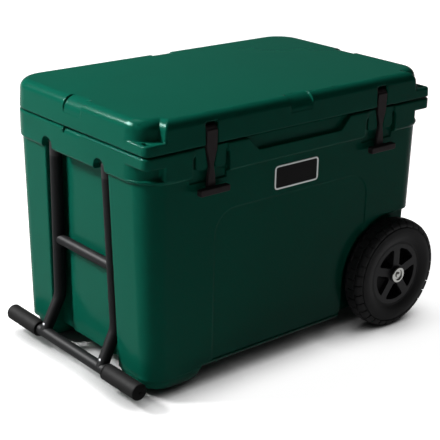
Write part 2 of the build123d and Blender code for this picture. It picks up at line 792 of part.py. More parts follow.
def make_handle_pin(side):
    """Steel pin across the top of one groove, seated in the band at both ends."""
    with BuildPart() as pin:
        with BuildSketch(on_pivot(side)):
            Circle(HANDLE_PIN_R)
        extrude(amount=GROOVE_OUTER - RECESS_HALF + 2 * PIN_SEAT)
    return pin.part


def make_crossbar():
    """Tube between the uprights, its ends coped to fit round them."""
    middle = upright_point(CROSSBAR_Z, 1)
    with BuildPart() as bar:
        with BuildSketch(Plane.XZ.offset(-middle.Y)):
            with Locations((middle.X, CROSSBAR_Z)):
                Circle(CROSSBAR_R)
                Circle(CROSSBAR_R - 1.6, mode=Mode.SUBTRACT)
        extrude(amount=2 * middle.Y)
        for side in (-1, 1):
            top = upright_point(UPRIGHT_START_Z, side)
            low = upright_point(BEND_Z + 10, side)
            with BuildSketch(Plane(origin=top, z_dir=low - top)):
                Circle(UPRIGHT_R)
            extrude(amount=(low - top).length, mode=Mode.SUBTRACT)
    return bar.part


def make_grip_bar():
    with BuildPart() as bar:
        with BuildSketch(Plane.XZ.offset(-(GRIP_END - 2))):
            with Locations((HANDLE_BAR_X, HANDLE_BAR_Z)):
                Circle(BAR_R)
                Circle(BAR_R - 2, mode=Mode.SUBTRACT)
        extrude(amount=2 * (GRIP_END - 2))
    return bar.part


def make_grip(side):
    """Rubber sleeve with a closed outer end."""
    with BuildPart() as grip:
        with BuildSketch(Plane.XZ.offset(-GRIP_END if side > 0 else GRIP_START)):
            with Locations((HANDLE_BAR_X, HANDLE_BAR_Z)):
                Circle(GRIP_R)
        extrude(amount=GRIP_END - GRIP_START)
        fillet(grip.edges().filter_by(GeomType.CIRCLE), 2)
        with BuildSketch(Plane.XZ.offset(-(GRIP_END - 2) if side > 0 else GRIP_START - 1)):
            with Locations((HANDLE_BAR_X, HANDLE_BAR_Z)):
                Circle(BAR_R)
        extrude(amount=GRIP_END - GRIP_START - 1, mode=Mode.SUBTRACT)
    return grip.part


# ---- lid ----------------------------------------------------------------------------------------
GASKET = (562.0, 312.0, 46.0)
GASKET_WIDTH = 8.0
GASKET_GROOVE_TOP = 449.5
GASKET_BOTTOM = RIM_TOP + 0.3
PANEL_REACH = 6.0


def gasket_ring():
    with BuildSketch() as ring:
        RectangleRounded(GASKET[0] + GASKET_WIDTH, GASKET[1] + GASKET_WIDTH, GASKET[2] + GASKET_WIDTH / 2)
        RectangleRounded(
            GASKET[0] - GASKET_WIDTH, GASKET[1] - GASKET_WIDTH, GASKET[2] - GASKET_WIDTH / 2,
            mode=Mode.SUBTRACT,
        )
    return ring.sketch


def make_lid_shell():
    """Moulded lid skin with padlock tabs, latch slots, strap grooves and hinge knuckles."""
    front = lid_front()
    tabs = lid_tab_layer()
    slots = latch_slots()
    grooves = strap_grooves()
    knuckles = hinge_knuckles(0, 1)
    knuckle_reliefs = hinge_reliefs(0)
    foam = lid_foam_block()
    with BuildPart() as lid:
        # main form behind the front corners, with draft
        with BuildSketch(Plane.XY.offset(LID_BOTTOM)):
            add(inner_outline())
        extrude(amount=LID_TOP - LID_BOTTOM, taper=LID_DRAFT)
        fillet(lid.edges().group_by(Axis.Z)[-1], LID_EDGE_R)
        add(front)
        add(tabs)
        fillet(lid.edges().group_by(Axis.Z)[0], SOFT_EDGE)
        with BuildSketch(Plane.XY.offset(LID_BOTTOM - 1)):
            add(padlock_slots())
        extrude(amount=TAB_HIGH - LID_BOTTOM + 2, mode=Mode.SUBTRACT)
        # raised inner panel that reaches into the mouth of the tub
        with BuildSketch(Plane.XY.offset(LID_BOTTOM)):
            RectangleRounded(MOUTH[0] - 10, MOUTH[1] - 10, MOUTH[2] - 5)
        with BuildSketch(Plane.XY.offset(LID_BOTTOM - PANEL_REACH)):
            RectangleRounded(MOUTH[0] - 14, MOUTH[1] - 14, MOUTH[2] - 7)
        loft(ruled=True)
        with BuildSketch(Plane.XY.offset(LID_BOTTOM - 1)):
            add(gasket_ring())
        extrude(amount=GASKET_GROOVE_TOP - LID_BOTTOM + 1, mode=Mode.SUBTRACT)
        add(slots, mode=Mode.SUBTRACT)
        add(grooves, mode=Mode.SUBTRACT)
        add(knuckles)
        add(knuckle_reliefs, mode=Mode.SUBTRACT)
        add(foam, mode=Mode.SUBTRACT)
    return lid.part


def lid_front():
    """Front of the lid between the bitten corners."""
    with BuildPart() as front:
        with BuildSketch(Plane.XY.offset(LID_BOTTOM)):
            with Locations((0, -RIM_Y / 2)):
                Rectangle(2 * BITE_STEP_X, RIM_Y)
        extrude(amount=LID_TOP - LID_BOTTOM, taper=LID_DRAFT)
        fillet(front.edges().group_by(Axis.Z)[-1].filter_by(lambda edge: edge.center().Y < -10), LID_EDGE_R)
        fillet(front.edges().filter_by(front_corner), BITE_STEP_R)
    return front.part


def front_corner(edge):
    """True for the upright edges at the ends of the lid's front."""
    at = edge.center()
    tall = edge.bounding_box().size.Z > 20
    return tall and at.Y < -RIM_Y + 12 and abs(at.X) > BITE_STEP_X - 10


def lid_tab_layer():
    """Bottom layer of the lid: its front corners stand out as the padlock tabs."""
    with BuildPart() as layer:
        with BuildSketch(Plane.XY.offset(LID_BOTTOM)):
            add(rim_outline())
        extrude(amount=TAB_HIGH - LID_BOTTOM, taper=LID_DRAFT)
        fillet(layer.edges().group_by(Axis.Z)[-1], SOFT_EDGE)
    return layer.part


def latch_slots():
    """Slots in the lid's front that the latches hang in, with the seats of their pins."""
    outside = RIM_Y + 2
    pin_half = LATCH_SLOT_WIDTH / 2 + PIN_SEAT
    with BuildPart() as slots:
        for side in (-1, 1):
            with BuildSketch(Plane.XZ.offset(outside)) as slot:
                with Locations((side * LATCH_X, (LATCH_SLOT_TOP + LID_BOTTOM - 2) / 2)):
                    Rectangle(LATCH_SLOT_WIDTH, LATCH_SLOT_TOP - LID_BOTTOM + 2)
                fillet(slot.vertices().group_by(Axis.Y)[-1], 4)
            extrude(amount=-(outside + LATCH_SLOT_FLOOR_Y))
            with BuildSketch(Plane.YZ.offset(side * LATCH_X - pin_half)):
                with Locations((LATCH_PIN_Y, LATCH_PIN_Z)):
                    Circle(LATCH_PIN_R)
            extrude(amount=2 * pin_half)
    return slots.part


def strap_grooves():
    """Tie-down grooves across the middle of each top edge: a larger edge radius over a short width."""
    groove_r = 27.0
    half = 26.0
    low = LID_TOP - groove_r
    with BuildPart() as grooves:
        for plane, reach in ((Plane.XZ, RIM_X - 2), (Plane.YZ, RIM_Y - 2)):
            with BuildSketch(plane):
                with BuildLine():
                    CenterArc((reach - groove_r, low), groove_r, 0, 90)
                    Polyline(
                        (reach, low),
                        (reach + 6, low),
                        (reach + 6, LID_TOP + 4),
                        (reach - groove_r, LID_TOP + 4),
                        (reach - groove_r, LID_TOP),
                    )
                make_face()
                mirror(about=Plane.YZ)
            extrude(amount=half, both=True)
    return grooves.part


def lid_foam_block():
    with BuildPart() as foam:
        with BuildSketch(Plane.XY.offset(GASKET_GROOVE_TOP + SKIN)):
            RectangleRounded(2 * RIM_X - 100, 2 * RIM_Y - 76, 30)
        extrude(amount=LID_TOP - SKIN - 2 - GASKET_GROOVE_TOP - SKIN)
    return foam.part


def make_gasket():
    with BuildPart() as gasket:
        with BuildSketch(Plane.XY.offset(GASKET_BOTTOM)):
            add(gasket_ring())
        extrude(amount=GASKET_GROOVE_TOP - GASKET_BOTTOM)
        fillet(gasket.edges().group_by(Axis.Z)[0], 1.5)
    return gasket.part


def make_hinge_pin(side):
    total = sum(KNUCKLE_LENGTHS)
    with BuildPart() as pin:
        with BuildSketch(Plane.YZ.offset(side * HINGE_X - total / 2)):
            with Locations((HINGE_Y, HINGE_Z)):
                Circle(HINGE_PIN_R)
        extrude(amount=total)
    return pin.part


# ---- latches ------------------------------------------------------------------------------------
def make_latch(side):
    """Rubber strap with an eye at the top, a neck between the keeper lobes and a T grip."""
    half = STRAP_WIDTH / 2
    neck = NECK_WIDTH / 2
    thick = STRAP_FRONT_Y - STRAP_BACK_Y
    grip = latch_grip(side)
    with BuildPart() as latch:
        with BuildSketch(Plane.XZ.offset(-STRAP_BACK_Y)):
            with Locations((side * LATCH_X, 0)):
                Polygon(
                    (-half, LATCH_PIN_Z),
                    (half, LATCH_PIN_Z),
                    (half, 437),
                    (neck, NECK_Z + 3),
                    (neck, NECK_Z - 4),
                    (neck + 2.5, NECK_Z - 16),
                    (neck + 4.5, TBAR_Z),
                    (-neck - 4.5, TBAR_Z),
                    (-neck - 2.5, NECK_Z - 16),
                    (-neck, NECK_Z - 4),
                    (-neck, NECK_Z + 3),
                    (-half, 437),
                    align=None,
                )
        extrude(amount=-thick)
        fillet(latch.faces().sort_by(Axis.Y)[0].edges(), 1.5)
        with BuildSketch(Plane.YZ.offset(side * LATCH_X - half)):
            with Locations((LATCH_PIN_Y, LATCH_PIN_Z)):
                Circle(LATCH_EYE_R)
        extrude(amount=STRAP_WIDTH)
        # the eye runs into the strap's front face
        with BuildSketch(Plane.YZ.offset(side * LATCH_X - half)):
            Polygon(
                (STRAP_FRONT_Y, LATCH_PIN_Z),
                (LATCH_PIN_Y, LATCH_PIN_Z + LATCH_EYE_R),
                (LATCH_PIN_Y, LATCH_PIN_Z - LATCH_EYE_R),
                (STRAP_FRONT_Y, LATCH_PIN_Z - 12),
                align=None,
            )
        extrude(amount=STRAP_WIDTH)
        add(grip)
        with BuildSketch(Plane.YZ.offset(side * LATCH_X - half - 1)):
            with Locations((LATCH_PIN_Y, LATCH_PIN_Z)):
                Circle(LATCH_PIN_R + RUNNING)
        extrude(amount=STRAP_WIDTH + 2, mode=Mode.SUBTRACT)
    return latch.part


def latch_grip(side):
    """Bar across the end of a latch for the fingers."""
    back_y = KEEPER_FACE_Y - 1.7
    with BuildPart() as grip:
        with BuildSketch(Plane.XZ.offset(-back_y)):
            with Locations((side * LATCH_X, TBAR_Z)):
                Rectangle(TBAR[0], TBAR[2])
        extrude(amount=TBAR[1])
        fillet(grip.edges(), 2.2)
    return grip.part


def make_latch_pin(side):
    pin_half = LATCH_SLOT_WIDTH / 2 + PIN_SEAT
    with BuildPart() as pin:
        with BuildSketch(Plane.YZ.offset(side * LATCH_X - pin_half)):
            with Locations((LATCH_PIN_Y, LATCH_PIN_Z)):
                Circle(LATCH_PIN_R)
        extrude(amount=2 * pin_half)
    return pin.part


# ---- drain --------------------------------------------------------------------------------------
def on_drain(x):
    return Plane(origin=(x, 0, DRAIN_Z), x_dir=(0, 1, 0), z_dir=(1, 0, 0))


def make_drain_spout():
    """Flanged tube through the end wall."""
    with BuildPart() as spout:
        with BuildSketch(on_drain(263)):
            Circle(DRAIN_R)
        extrude(amount=DRAIN_SEAT_X - 263)
        with BuildSketch(on_drain(DRAIN_SEAT_X)):
            Circle(24)
        extrude(amount=3)
        with BuildSketch(on_drain(263)):
            Circle(DRAIN_R - 3)
        extrude(amount=80, mode=Mode.SUBTRACT)
    return spout.part


def make_drain_plug():
    """Screw plug with a ribbed cap."""
    face = DRAIN_SEAT_X + 3 + 2.5
    with BuildPart() as plug:
        with BuildSketch(on_drain(290)):
            Circle(DRAIN_R - 3 - 0.1)
        extrude(amount=face - 290)
        with BuildSketch(on_drain(face)):
            Circle(20)
        extrude(amount=11)
        with BuildSketch(on_drain(face)):
            with PolarLocations(21, 10):
                Circle(3.2)
        extrude(amount=12, mode=Mode.SUBTRACT)
        with BuildSketch(on_drain(face + 11)):
            RectangleRounded(9, 34, 3)
        extrude(amount=6)
    return plug.part


def make_drain_gasket():
    with BuildPart() as gasket:
        with BuildSketch(on_drain(DRAIN_SEAT_X + 3.2)):
            Circle(15)
            Circle(DRAIN_R - 3 - 0.1, mode=Mode.SUBTRACT)
        extrude(amount=2.3)
    return gasket.part


# ---- write every piece --------------------------------------------------------------------------
write(make_tub_shell(), "tub_shell")
write(tub_foam_block(), "tub_foam")
write(make_name_plate(), "name_plate")
write(make_axle(), "axle")
write(make_lid_shell(), "lid_shell")
write(lid_foam_block(), "lid_foam")
write(make_gasket(), "lid_gasket")
write(make_crossbar(), "handle_crossbar")
write(make_grip_bar(), "handle_grip_bar")
write(make_drain_spout(), "drain_spout")
write(make_drain_plug(), "drain_plug")
write(make_drain_gasket(), "drain_gasket")

for name, side in LEFT_RIGHT:
    write(make_hinge_pin(side), f"hinge_pin_{name}")
    write(make_latch(side), f"latch_{name}")
    write(make_latch_pin(side), f"latch_pin_{name}")

for name, side in BOTH_SIDES:
    write(make_foot_pad(side), f"foot_pad_{name}")
    write(
        ring_along_axle(
            AXLE_BUSH_R, AXLE_R, side * ARCH_INNER_Y, side * (ARCH_INNER_Y - AXLE_BUSH_LENGTH)
        ),
        f"axle_bush_{name}",
    )
    write(
        ring_along_axle(
            SPACER_R, AXLE_R, side * ARCH_INNER_Y, side * (WHEEL_MID_Y - HUB_BOSS_HALF - 0.4)
        ),
        f"wheel_spacer_{name}",
    )
    write(make_hub_cap(side), f"hub_cap_{name}")
    write(make_tyre(side), f"tyre_{name}")
    write(make_hub(side), f"wheel_hub_{name}")
    write(
        ring_along_axle(
            WHEEL_BUSH_R, AXLE_R + RUNNING,
            side * (WHEEL_MID_Y - HUB_BOSS_HALF), side * (WHEEL_MID_Y + HUB_BOSS_HALF),
        ),
        f"wheel_bush_{name}",
    )
    write(make_upright(side), f"handle_upright_{name}")
    write(make_knuckle(side), f"handle_knuckle_{name}")
    write(make_handle_pin(side), f"handle_pin_{name}")
    write(make_grip(side), f"handle_grip_{name}")
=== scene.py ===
"""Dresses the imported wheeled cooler: moulded skins, rubber latches, tube handle, lugged wheels."""
import json
from math import atan2, cos, hypot, pi, radians, sin

import bmesh
import bpy
from mathutils import Matrix, Vector


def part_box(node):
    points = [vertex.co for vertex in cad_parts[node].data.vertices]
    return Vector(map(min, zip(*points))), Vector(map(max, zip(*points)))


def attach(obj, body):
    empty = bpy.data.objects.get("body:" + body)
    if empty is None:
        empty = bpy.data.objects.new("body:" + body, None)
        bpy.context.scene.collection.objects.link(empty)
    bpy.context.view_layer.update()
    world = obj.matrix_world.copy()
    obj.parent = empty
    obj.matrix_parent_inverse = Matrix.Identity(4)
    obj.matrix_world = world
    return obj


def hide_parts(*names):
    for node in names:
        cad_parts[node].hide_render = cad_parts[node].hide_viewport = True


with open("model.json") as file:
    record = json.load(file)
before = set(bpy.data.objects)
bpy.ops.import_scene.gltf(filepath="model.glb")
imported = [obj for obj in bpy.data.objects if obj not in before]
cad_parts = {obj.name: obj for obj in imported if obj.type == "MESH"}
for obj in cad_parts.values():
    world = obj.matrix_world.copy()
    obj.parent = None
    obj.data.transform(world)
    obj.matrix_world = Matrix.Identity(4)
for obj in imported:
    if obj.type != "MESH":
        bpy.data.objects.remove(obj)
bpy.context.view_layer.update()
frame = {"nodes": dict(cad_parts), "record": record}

bl_info = {
    "name": "Wheeled cooler",
    "version": (1, 0, 0),
    "blender": (4, 5, 0),
    "location": "View3D > Sidebar > Cooler",
    "description": "Builds the pieces and materials of a wheeled cooler round its packed solids",
    "category": "Object",
}

MM = 0.001

# the latches are at the front, which faces -Y
BOTH_SIDES = (("front", -1), ("back", 1))
NODE_BODY = {
    node: body for body, nodes in frame["record"]["behaviour"]["bodies"].items() for node in nodes
}
NODE_SLOT = {part["node"]: part["material_slot"] for part in frame["record"]["subparts"]}

# rounding of moulded edges
HARD_EDGE = radians(32)  # an edge that bends more is rounded, or kept crisp for want of room
EDGE_ROOM = 2.2  # free room that an edge needs, in widths of its rounding
EDGE_SHARES = (1.0, 0.5, 0.2)  # shares of the full width, tried in turn where room is short
EDGE_SEGMENTS = 3
FLAT_EDGE = radians(0.6)  # faces that meet flatter than this become one
AHEAD = 0.8  # cosine of the angle within which a point lies ahead of an edge
CREASE = 35  # degrees past which a made piece keeps a crisp edge

# a foot's outline (x from, x to, y from, y to) at its sole and at its top, in mm
FOOT_SOLE = (-283, -207, 60, 155)
FOOT_TOP = (-313, -176, 60, 195)
FOOT_HEIGHTS = (1.5, 36)
FOOT_CORNER = 44
# the block that cuts a foot's corners round, in mm; its hollow runs on past both its ends
MOULD_OUTLINE = (-328, -200, 100, 210)
MOULD_HEIGHTS = (-3, 36.4)
HOLLOW_HEIGHTS = (-5, 60)

# stage
FLOOR_REACH = 8.0
FLOOR_LIFT = 0.98  # glow of the open floor, where 1 is white
CONTACT_DARK = 0.2  # share of open air over the floor at which the glow is gone: the darkest of the painted contact shade
CONTACT_REACH = 0.1  # metres within which something dims the floor's glow, as painted contact shade
ROOM_LIGHT = 0.05
MIRRORED_WALL = (-0.02, 0.1)  # upward slopes between which the mirrored wall fades to the ceiling
LAMPS = (
    # name, place, target, width and height in metres, watts, whether it lights matt surfaces
    ("side softbox", (-2.1, 1.45, 2.35), (0, 0, 0.25), (0.7, 0.7), 128, True),
    ("gloss panel", (-2.2, 1.52, 2.45), (0, 0, 0.25), (2.2, 1.2), 1200, False),
    ("top softbox", (-0.3, 1.2, 3.2), (0, 0, 0.3), (1.6, 1.2), 22, True),
)
CAMERA_PLACE = (-1.3826, -1.6319, 1.0015)
CAMERA_DOWN, CAMERA_YAW, CAMERA_ROLL = radians(20.39), radians(49.81), radians(1.15)
CAMERA_SENSOR, CAMERA_LENS = 36.0, 97.67  # in mm


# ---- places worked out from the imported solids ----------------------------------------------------
def middle(node):
    low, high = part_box(node)
    return (low + high) / 2


def half_size(node):
    low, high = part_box(node)
    return (high - low) / 2


def ends(node, facing):
    """The y of a piece's inner and outer ends; facing is -1 at the front and 1 at the back."""
    low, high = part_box(node)
    return (high.y, low.y) if facing < 0 else (low.y, high.y)


# ---- colour and node helpers ---------------------------------------------------------------------
def linear(hex_code):
    """A six-digit sRGB hex colour as linear red, green and blue."""
    channels = [int(hex_code[i : i + 2], 16) / 255 for i in (0, 2, 4)]
    return tuple(c / 12.92 if c <= 0.04045 else ((c + 0.055) / 1.055) ** 2.4 for c in channels)


WHITE = linear("FFFFFF") + (1,)
FLOOR_GREY = linear("BCBCBC") + (1,)


def add_node(tree, kind, links=(), **settings):
    """Adds a node; settings name its properties or input sockets, links are (socket, output)."""
    node = tree.nodes.new(kind)
    for name, value in settings.items():
        if hasattr(node, name):
            setattr(node, name, value)
        else:
            node.inputs[name.replace("_", " ")].default_value = value
    for socket, output in links:
        tree.links.new(output, node.inputs[socket])
    return node


def new_material(name):
    """Empty node material with its surface output."""
    material = bpy.data.materials.new(name)
    material.use_nodes = True
    tree = material.node_tree
    tree.nodes.clear()
    return material, tree, add_node(tree, "ShaderNodeOutputMaterial")


def mottled(tree, place, colour, spread, patch):
    """A colour that drifts lighter and darker by a share, in patches about patch metres wide."""
    drift = add_node(tree, "ShaderNodeTexNoise", [("Vector", place)], Scale=1 / patch, Detail=3.0)
    mix = add_node(tree, "ShaderNodeMix", [("Factor", drift.outputs["Fac"])], data_type="RGBA")
    darker, lighter, result = mix.inputs[6], mix.inputs[7], mix.outputs[2]
    darker.default_value = tuple(c * (1 - spread) for c in colour) + (1,)
    lighter.default_value = tuple(min(1, c * (1 + spread)) for c in colour) + (1,)
    return result


def grained_bump(tree, place, grain, height, strength, edge=0.0):
    """Fine relief whose cells are grain metres apart; edge metres of hard edge shade as round."""
    noise = add_node(tree, "ShaderNodeTexNoise", [("Vector", place)], Scale=1 / grain, Detail=2.0)
    links = [("Height", noise.outputs["Fac"])]
    if edge:
        eased = add_node(tree, "ShaderNodeBevel", Radius=edge, samples=6)
        links.append(("Normal", eased.outputs["Normal"]))
    bump = add_node(tree, "ShaderNodeBump", links, Strength=strength, Distance=height)
    return bump.outputs["Normal"]


def roughness_drift(tree, place, low, high, patch):
    """Roughness that wanders between two values, in patches about patch metres wide."""
    noise = add_node(tree, "ShaderNodeTexNoise", [("Vector", place)], Scale=1 / patch, Detail=4.0)
    links = [("Value", noise.outputs["Fac"])]
    spread = add_node(tree, "ShaderNodeMapRange", links, To_Min=low, To_Max=high)
    return spread.outputs["Result"]


def grained_finish(name, colour, mottle, roughness, relief, edge=0.0, **settings):
    """Material with a drifting colour and roughness over a fine relief.

    mottle is (spread, patch), roughness (low, high, patch) and relief (grain, height, strength).
    The settings are the shader's own sockets.
    """
    material, tree, out = new_material(name)
    place = add_node(tree, "ShaderNodeTexCoord").outputs["Object"]
    links = [
        ("Base Color", mottled(tree, place, colour, *mottle)),
        ("Roughness", roughness_drift(tree, place, *roughness)),
        ("Normal", grained_bump(tree, place, *relief, edge)),
    ]
    shader = add_node(tree, "ShaderNodeBsdfPrincipled", links, **settings)
    tree.links.new(shader.outputs[0], out.inputs["Surface"])
    return material


# ---- materials -----------------------------------------------------------------------------------
def rotomoulded_polyethylene(name, colour):
    """Rotationally moulded polyethylene: an even fine orange peel with a broad soft sheen."""
    return grained_finish(
        name, colour, mottle=(0.05, 111 * MM), roughness=(0.15, 0.19, 25 * MM),
        relief=(2.2 * MM, 0.02 * MM, 0.15), edge=3.5 * MM,
        IOR=1.5, Specular_IOR_Level=0.035, Specular_Tint=linear("B3FFF3") + (1,),
    )


def moulded_rubber(name, colour, roughness, grain, gloss=0.08):
    """Compression-moulded rubber: nearly matt, with the texture of a sand-blasted tool.

    That texture is about 0.3 mm wide on the real pieces and is drawn coarser, so that it shows.
    """
    return grained_finish(
        name, colour, mottle=(0.12, 16.7 * MM),
        roughness=(roughness - 0.06, roughness + 0.06, 11 * MM),
        relief=(grain, 0.06 * MM, 0.4), IOR=1.52, Specular_IOR_Level=gloss,
    )


def moulded_nylon(name, colour):
    """Injection-moulded glass-filled nylon: a spark-eroded texture with a low sheen.

    The real texture is about 0.1 mm wide and is drawn coarser, so that it shows.
    """
    return grained_finish(
        name, colour, mottle=(0.08, 33 * MM), roughness=(0.42, 0.52, 8.3 * MM),
        relief=(0.7 * MM, 0.03 * MM, 0.4), IOR=1.53, Specular_IOR_Level=0.12,
    )


def powder_coated_aluminium(name, colour):
    """Fine-texture polyester powder coat on aluminium tube: satin, with tiny even bumps."""
    return grained_finish(
        name, colour, mottle=(0.06, 40 * MM), roughness=(0.44, 0.52, 6.7 * MM),
        relief=(0.9 * MM, 0.04 * MM, 0.35), IOR=1.5, Specular_IOR_Level=0.05,
    )


def stoved_enamel(name, colour):
    """Stoved enamel on a pressed plate: smooth and black, with a slight orange peel."""
    return grained_finish(
        name, colour, mottle=(0.1, 25 * MM), roughness=(0.3, 0.38, 16.7 * MM),
        relief=(2.5 * MM, 0.03 * MM, 0.25), IOR=1.5, Specular_IOR_Level=0.05,
    )


def pressed_steel(name, colour, roughness):
    """Zinc-plated steel, pressed or turned: a clear metal shine that is slightly uneven."""
    return grained_finish(
        name, colour, mottle=(0.05, 12.5 * MM),
        roughness=(roughness * 0.8, roughness * 1.25, 5 * MM),
        relief=(0.8 * MM, 0.01 * MM, 0.2), Metallic=1.0,
    )


def brushed_aluminium(name, colour):
    """Brushed, clear-anodised aluminium: satin, with fine streaks along its length.

    The real streaks are about 0.1 mm wide and are drawn coarser, so that they show.
    """
    material, tree, out = new_material(name)
    place = add_node(tree, "ShaderNodeTexCoord").outputs["Object"]
    long, wide = 1 / (50 * MM), 1 / (1.11 * MM)
    mapping = add_node(tree, "ShaderNodeMapping", [("Vector", place)], Scale=(long, wide, wide))
    along = mapping.outputs[0]
    streaks = add_node(tree, "ShaderNodeTexNoise", [("Vector", along)], Scale=1.0, Detail=2.0)
    links = [("Height", streaks.outputs["Fac"])]
    bump = add_node(tree, "ShaderNodeBump", links, Strength=0.3, Distance=0.02 * MM)
    links = [
        ("Base Color", mottled(tree, place, colour, 0.05, 16.7 * MM)),
        ("Roughness", roughness_drift(tree, along, 0.34, 0.48, 1.0)),
        ("Normal", bump.outputs["Normal"]),
    ]
    shader = add_node(tree, "ShaderNodeBsdfPrincipled", links, Metallic=1.0)
    tree.links.new(shader.outputs[0], out.inputs["Surface"])
    return material


def poured_foam(name, colour):
    """Poured polyurethane foam: cream, matt and full of closed cells.

    The real cells are about 0.5 mm wide and are drawn coarser, so that they show.
    """
    material, tree, out = new_material(name)
    place = add_node(tree, "ShaderNodeTexCoord").outputs["Object"]
    cells = add_node(tree, "ShaderNodeTexVoronoi", [("Vector", place)], Scale=1 / (1.5 * MM))
    links = [("Height", cells.outputs["Distance"])]
    bump = add_node(tree, "ShaderNodeBump", links, Strength=0.5, Distance=0.2 * MM)
    links = [
        ("Base Color", mottled(tree, place, colour, 0.06, 50 * MM)),
        ("Normal", bump.outputs["Normal"]),
    ]
    shader = add_node(tree, "ShaderNodeBsdfPrincipled", links, Roughness=0.9)
    tree.links.new(shader.outputs[0], out.inputs["Surface"])
    return material


# ---- mesh helpers --------------------------------------------------------------------------------
def link(mesh, name):
    piece = bpy.data.objects.new(name, mesh)
    bpy.context.scene.collection.objects.link(piece)
    return piece


def dress(piece, material):
    piece.data.materials.clear()
    piece.data.materials.append(material)


def place_on(piece, node):
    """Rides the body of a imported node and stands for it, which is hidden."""
    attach(piece, NODE_BODY[node])
    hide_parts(node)


def plain_mesh(piece):
    """Turns a piece with modifiers into a plain mesh at the origin."""
    bpy.context.view_layer.update()
    evaluated = piece.evaluated_get(bpy.context.evaluated_depsgraph_get())
    mesh = bpy.data.meshes.new_from_object(evaluated)
    piece.modifiers.clear()
    piece.data = mesh
    return piece


def cut_away(piece, cutter):
    """Cuts a closed piece out of another one, and removes it."""
    cut = piece.modifiers.new("cut", "BOOLEAN")
    cut.operation = "DIFFERENCE"
    cut.solver = "EXACT"
    cut.object = cutter
    plain_mesh(piece)
    bpy.data.objects.remove(cutter)


def finish_mesh(bm, name, crease=CREASE):
    """Closes off a bmesh as a smooth-shaded piece with sharp edges kept crisp."""
    bmesh.ops.remove_doubles(bm, verts=bm.verts, dist=1e-6)
    bmesh.ops.recalc_face_normals(bm, faces=bm.faces)
    for face in bm.faces:
        face.smooth = True
    mesh = bpy.data.meshes.new(name)
    bm.to_mesh(mesh)
    bm.free()
    mesh.set_sharp_from_angle(angle=radians(crease))
    return link(mesh, name)


def clearance(edge, point):
    """How far a point is from an edge, or None where it lies ahead along the edge's own line."""
    start, end = edge.verts[0].co, edge.verts[1].co
    along = end - start
    share = min(1.0, max(0.0, (point - start).dot(along) / max(along.length_squared, 1e-18)))
    off = point - (start + share * along)
    if share in (0.0, 1.0) and abs(off.normalized().dot(along.normalized())) > AHEAD:
        return None
    return off.length


def roundable(bm, width):
    """Hard edges with room for a rounding: nothing else on their faces is too near."""
    edges = {e for e in bm.edges if e.is_manifold and e.calc_face_angle() > HARD_EDGE}
    room = EDGE_ROOM * width
    cramped = set()
    for edge in edges:
        near = {v for face in edge.link_faces for v in face.verts}
        near.update(other.other_vert(v) for v in edge.verts for other in v.link_edges)
        for vert in near - set(edge.verts):
            gap = clearance(edge, vert.co)
            if gap is not None and gap < room:
                cramped.add(edge)
                break
    edges -= cramped
    # a rounding ends only where all the edges that meet are long enough to take it
    while True:
        loose = set()
        for edge in edges:
            for vert in edge.verts:
                ahead = [e for e in vert.link_edges if e is not edge and e in edges]
                if not ahead and min(e.calc_length() for e in vert.link_edges) < room:
                    loose.add(edge)
        if not loose:
            return sorted(edges, key=lambda e: e.index)
        edges -= loose


def flat_first(piece):
    """Turns each corner's shading towards its largest face, so flat walls shade flat."""
    weighted = piece.modifiers.new("normals", "WEIGHTED_NORMAL")
    weighted.keep_sharp = True
    weighted.weight = 50
    plain_mesh(piece)


def softened(node, name, width, material, cutters=()):
    """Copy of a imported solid, cut by its cutters, with hard edges rounded by up to width metres."""
    piece = link(frame["nodes"][node].data.copy(), name)
    stored_shading = piece.data.attributes.get("custom_normal")
    if stored_shading:
        piece.data.attributes.remove(stored_shading)
    for cutter in cutters:
        cut_away(piece, cutter)
    bm = bmesh.new()
    bm.from_mesh(piece.data)
    bmesh.ops.remove_doubles(bm, verts=bm.verts, dist=2e-6)
    bmesh.ops.dissolve_limit(
        bm, angle_limit=FLAT_EDGE, verts=bm.verts, edges=bm.edges, delimit={"NORMAL"}
    )
    shares = EDGE_SHARES if width else ()
    for share in shares:
        bm.edges.index_update()
        edges = roundable(bm, width * share)
        if edges:
            bmesh.ops.bevel(
                bm, geom=edges, offset=width * share, offset_type="OFFSET", affect="EDGES",
                segments=EDGE_SEGMENTS, profile=0.5, clamp_overlap=False, miter_outer="ARC",
                loop_slide=True,
            )
    low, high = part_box(node)
    for vert in bm.verts:
        vert.co = [min(max(c, a), b) for c, a, b in zip(vert.co, low, high)]
    for face in bm.faces:
        face.smooth = True
    bm.to_mesh(piece.data)
    bm.free()
    piece.data.set_sharp_from_angle(angle=HARD_EDGE)
    flat_first(piece)
    dress(piece, material)
    return piece


def arc(start, through, end, count):
    """Points from start to end on the circle through a third point, both ends included."""
    (ax, ay), (bx, by), (cx, cy) = start, through, end
    d = 2 * (ax * (by - cy) + bx * (cy - ay) + cx * (ay - by))
    a, b, c = ax * ax + ay * ay, bx * bx + by * by, cx * cx + cy * cy
    mx = (a * (by - cy) + b * (cy - ay) + c * (ay - by)) / d
    my = (a * (cx - bx) + b * (ax - cx) + c * (bx - ax)) / d
    first, last = atan2(ay - my, ax - mx), atan2(cy - my, cx - mx)
    middle_turn = (atan2(by - my, bx - mx) - first) % (2 * pi)
    turn = (last - first) % (2 * pi)
    if middle_turn > turn:
        turn -= 2 * pi
    radius = hypot(ax - mx, ay - my)
    steps = [first + turn * i / count for i in range(count + 1)]
    return [(mx + radius * cos(t), my + radius * sin(t)) for t in steps]


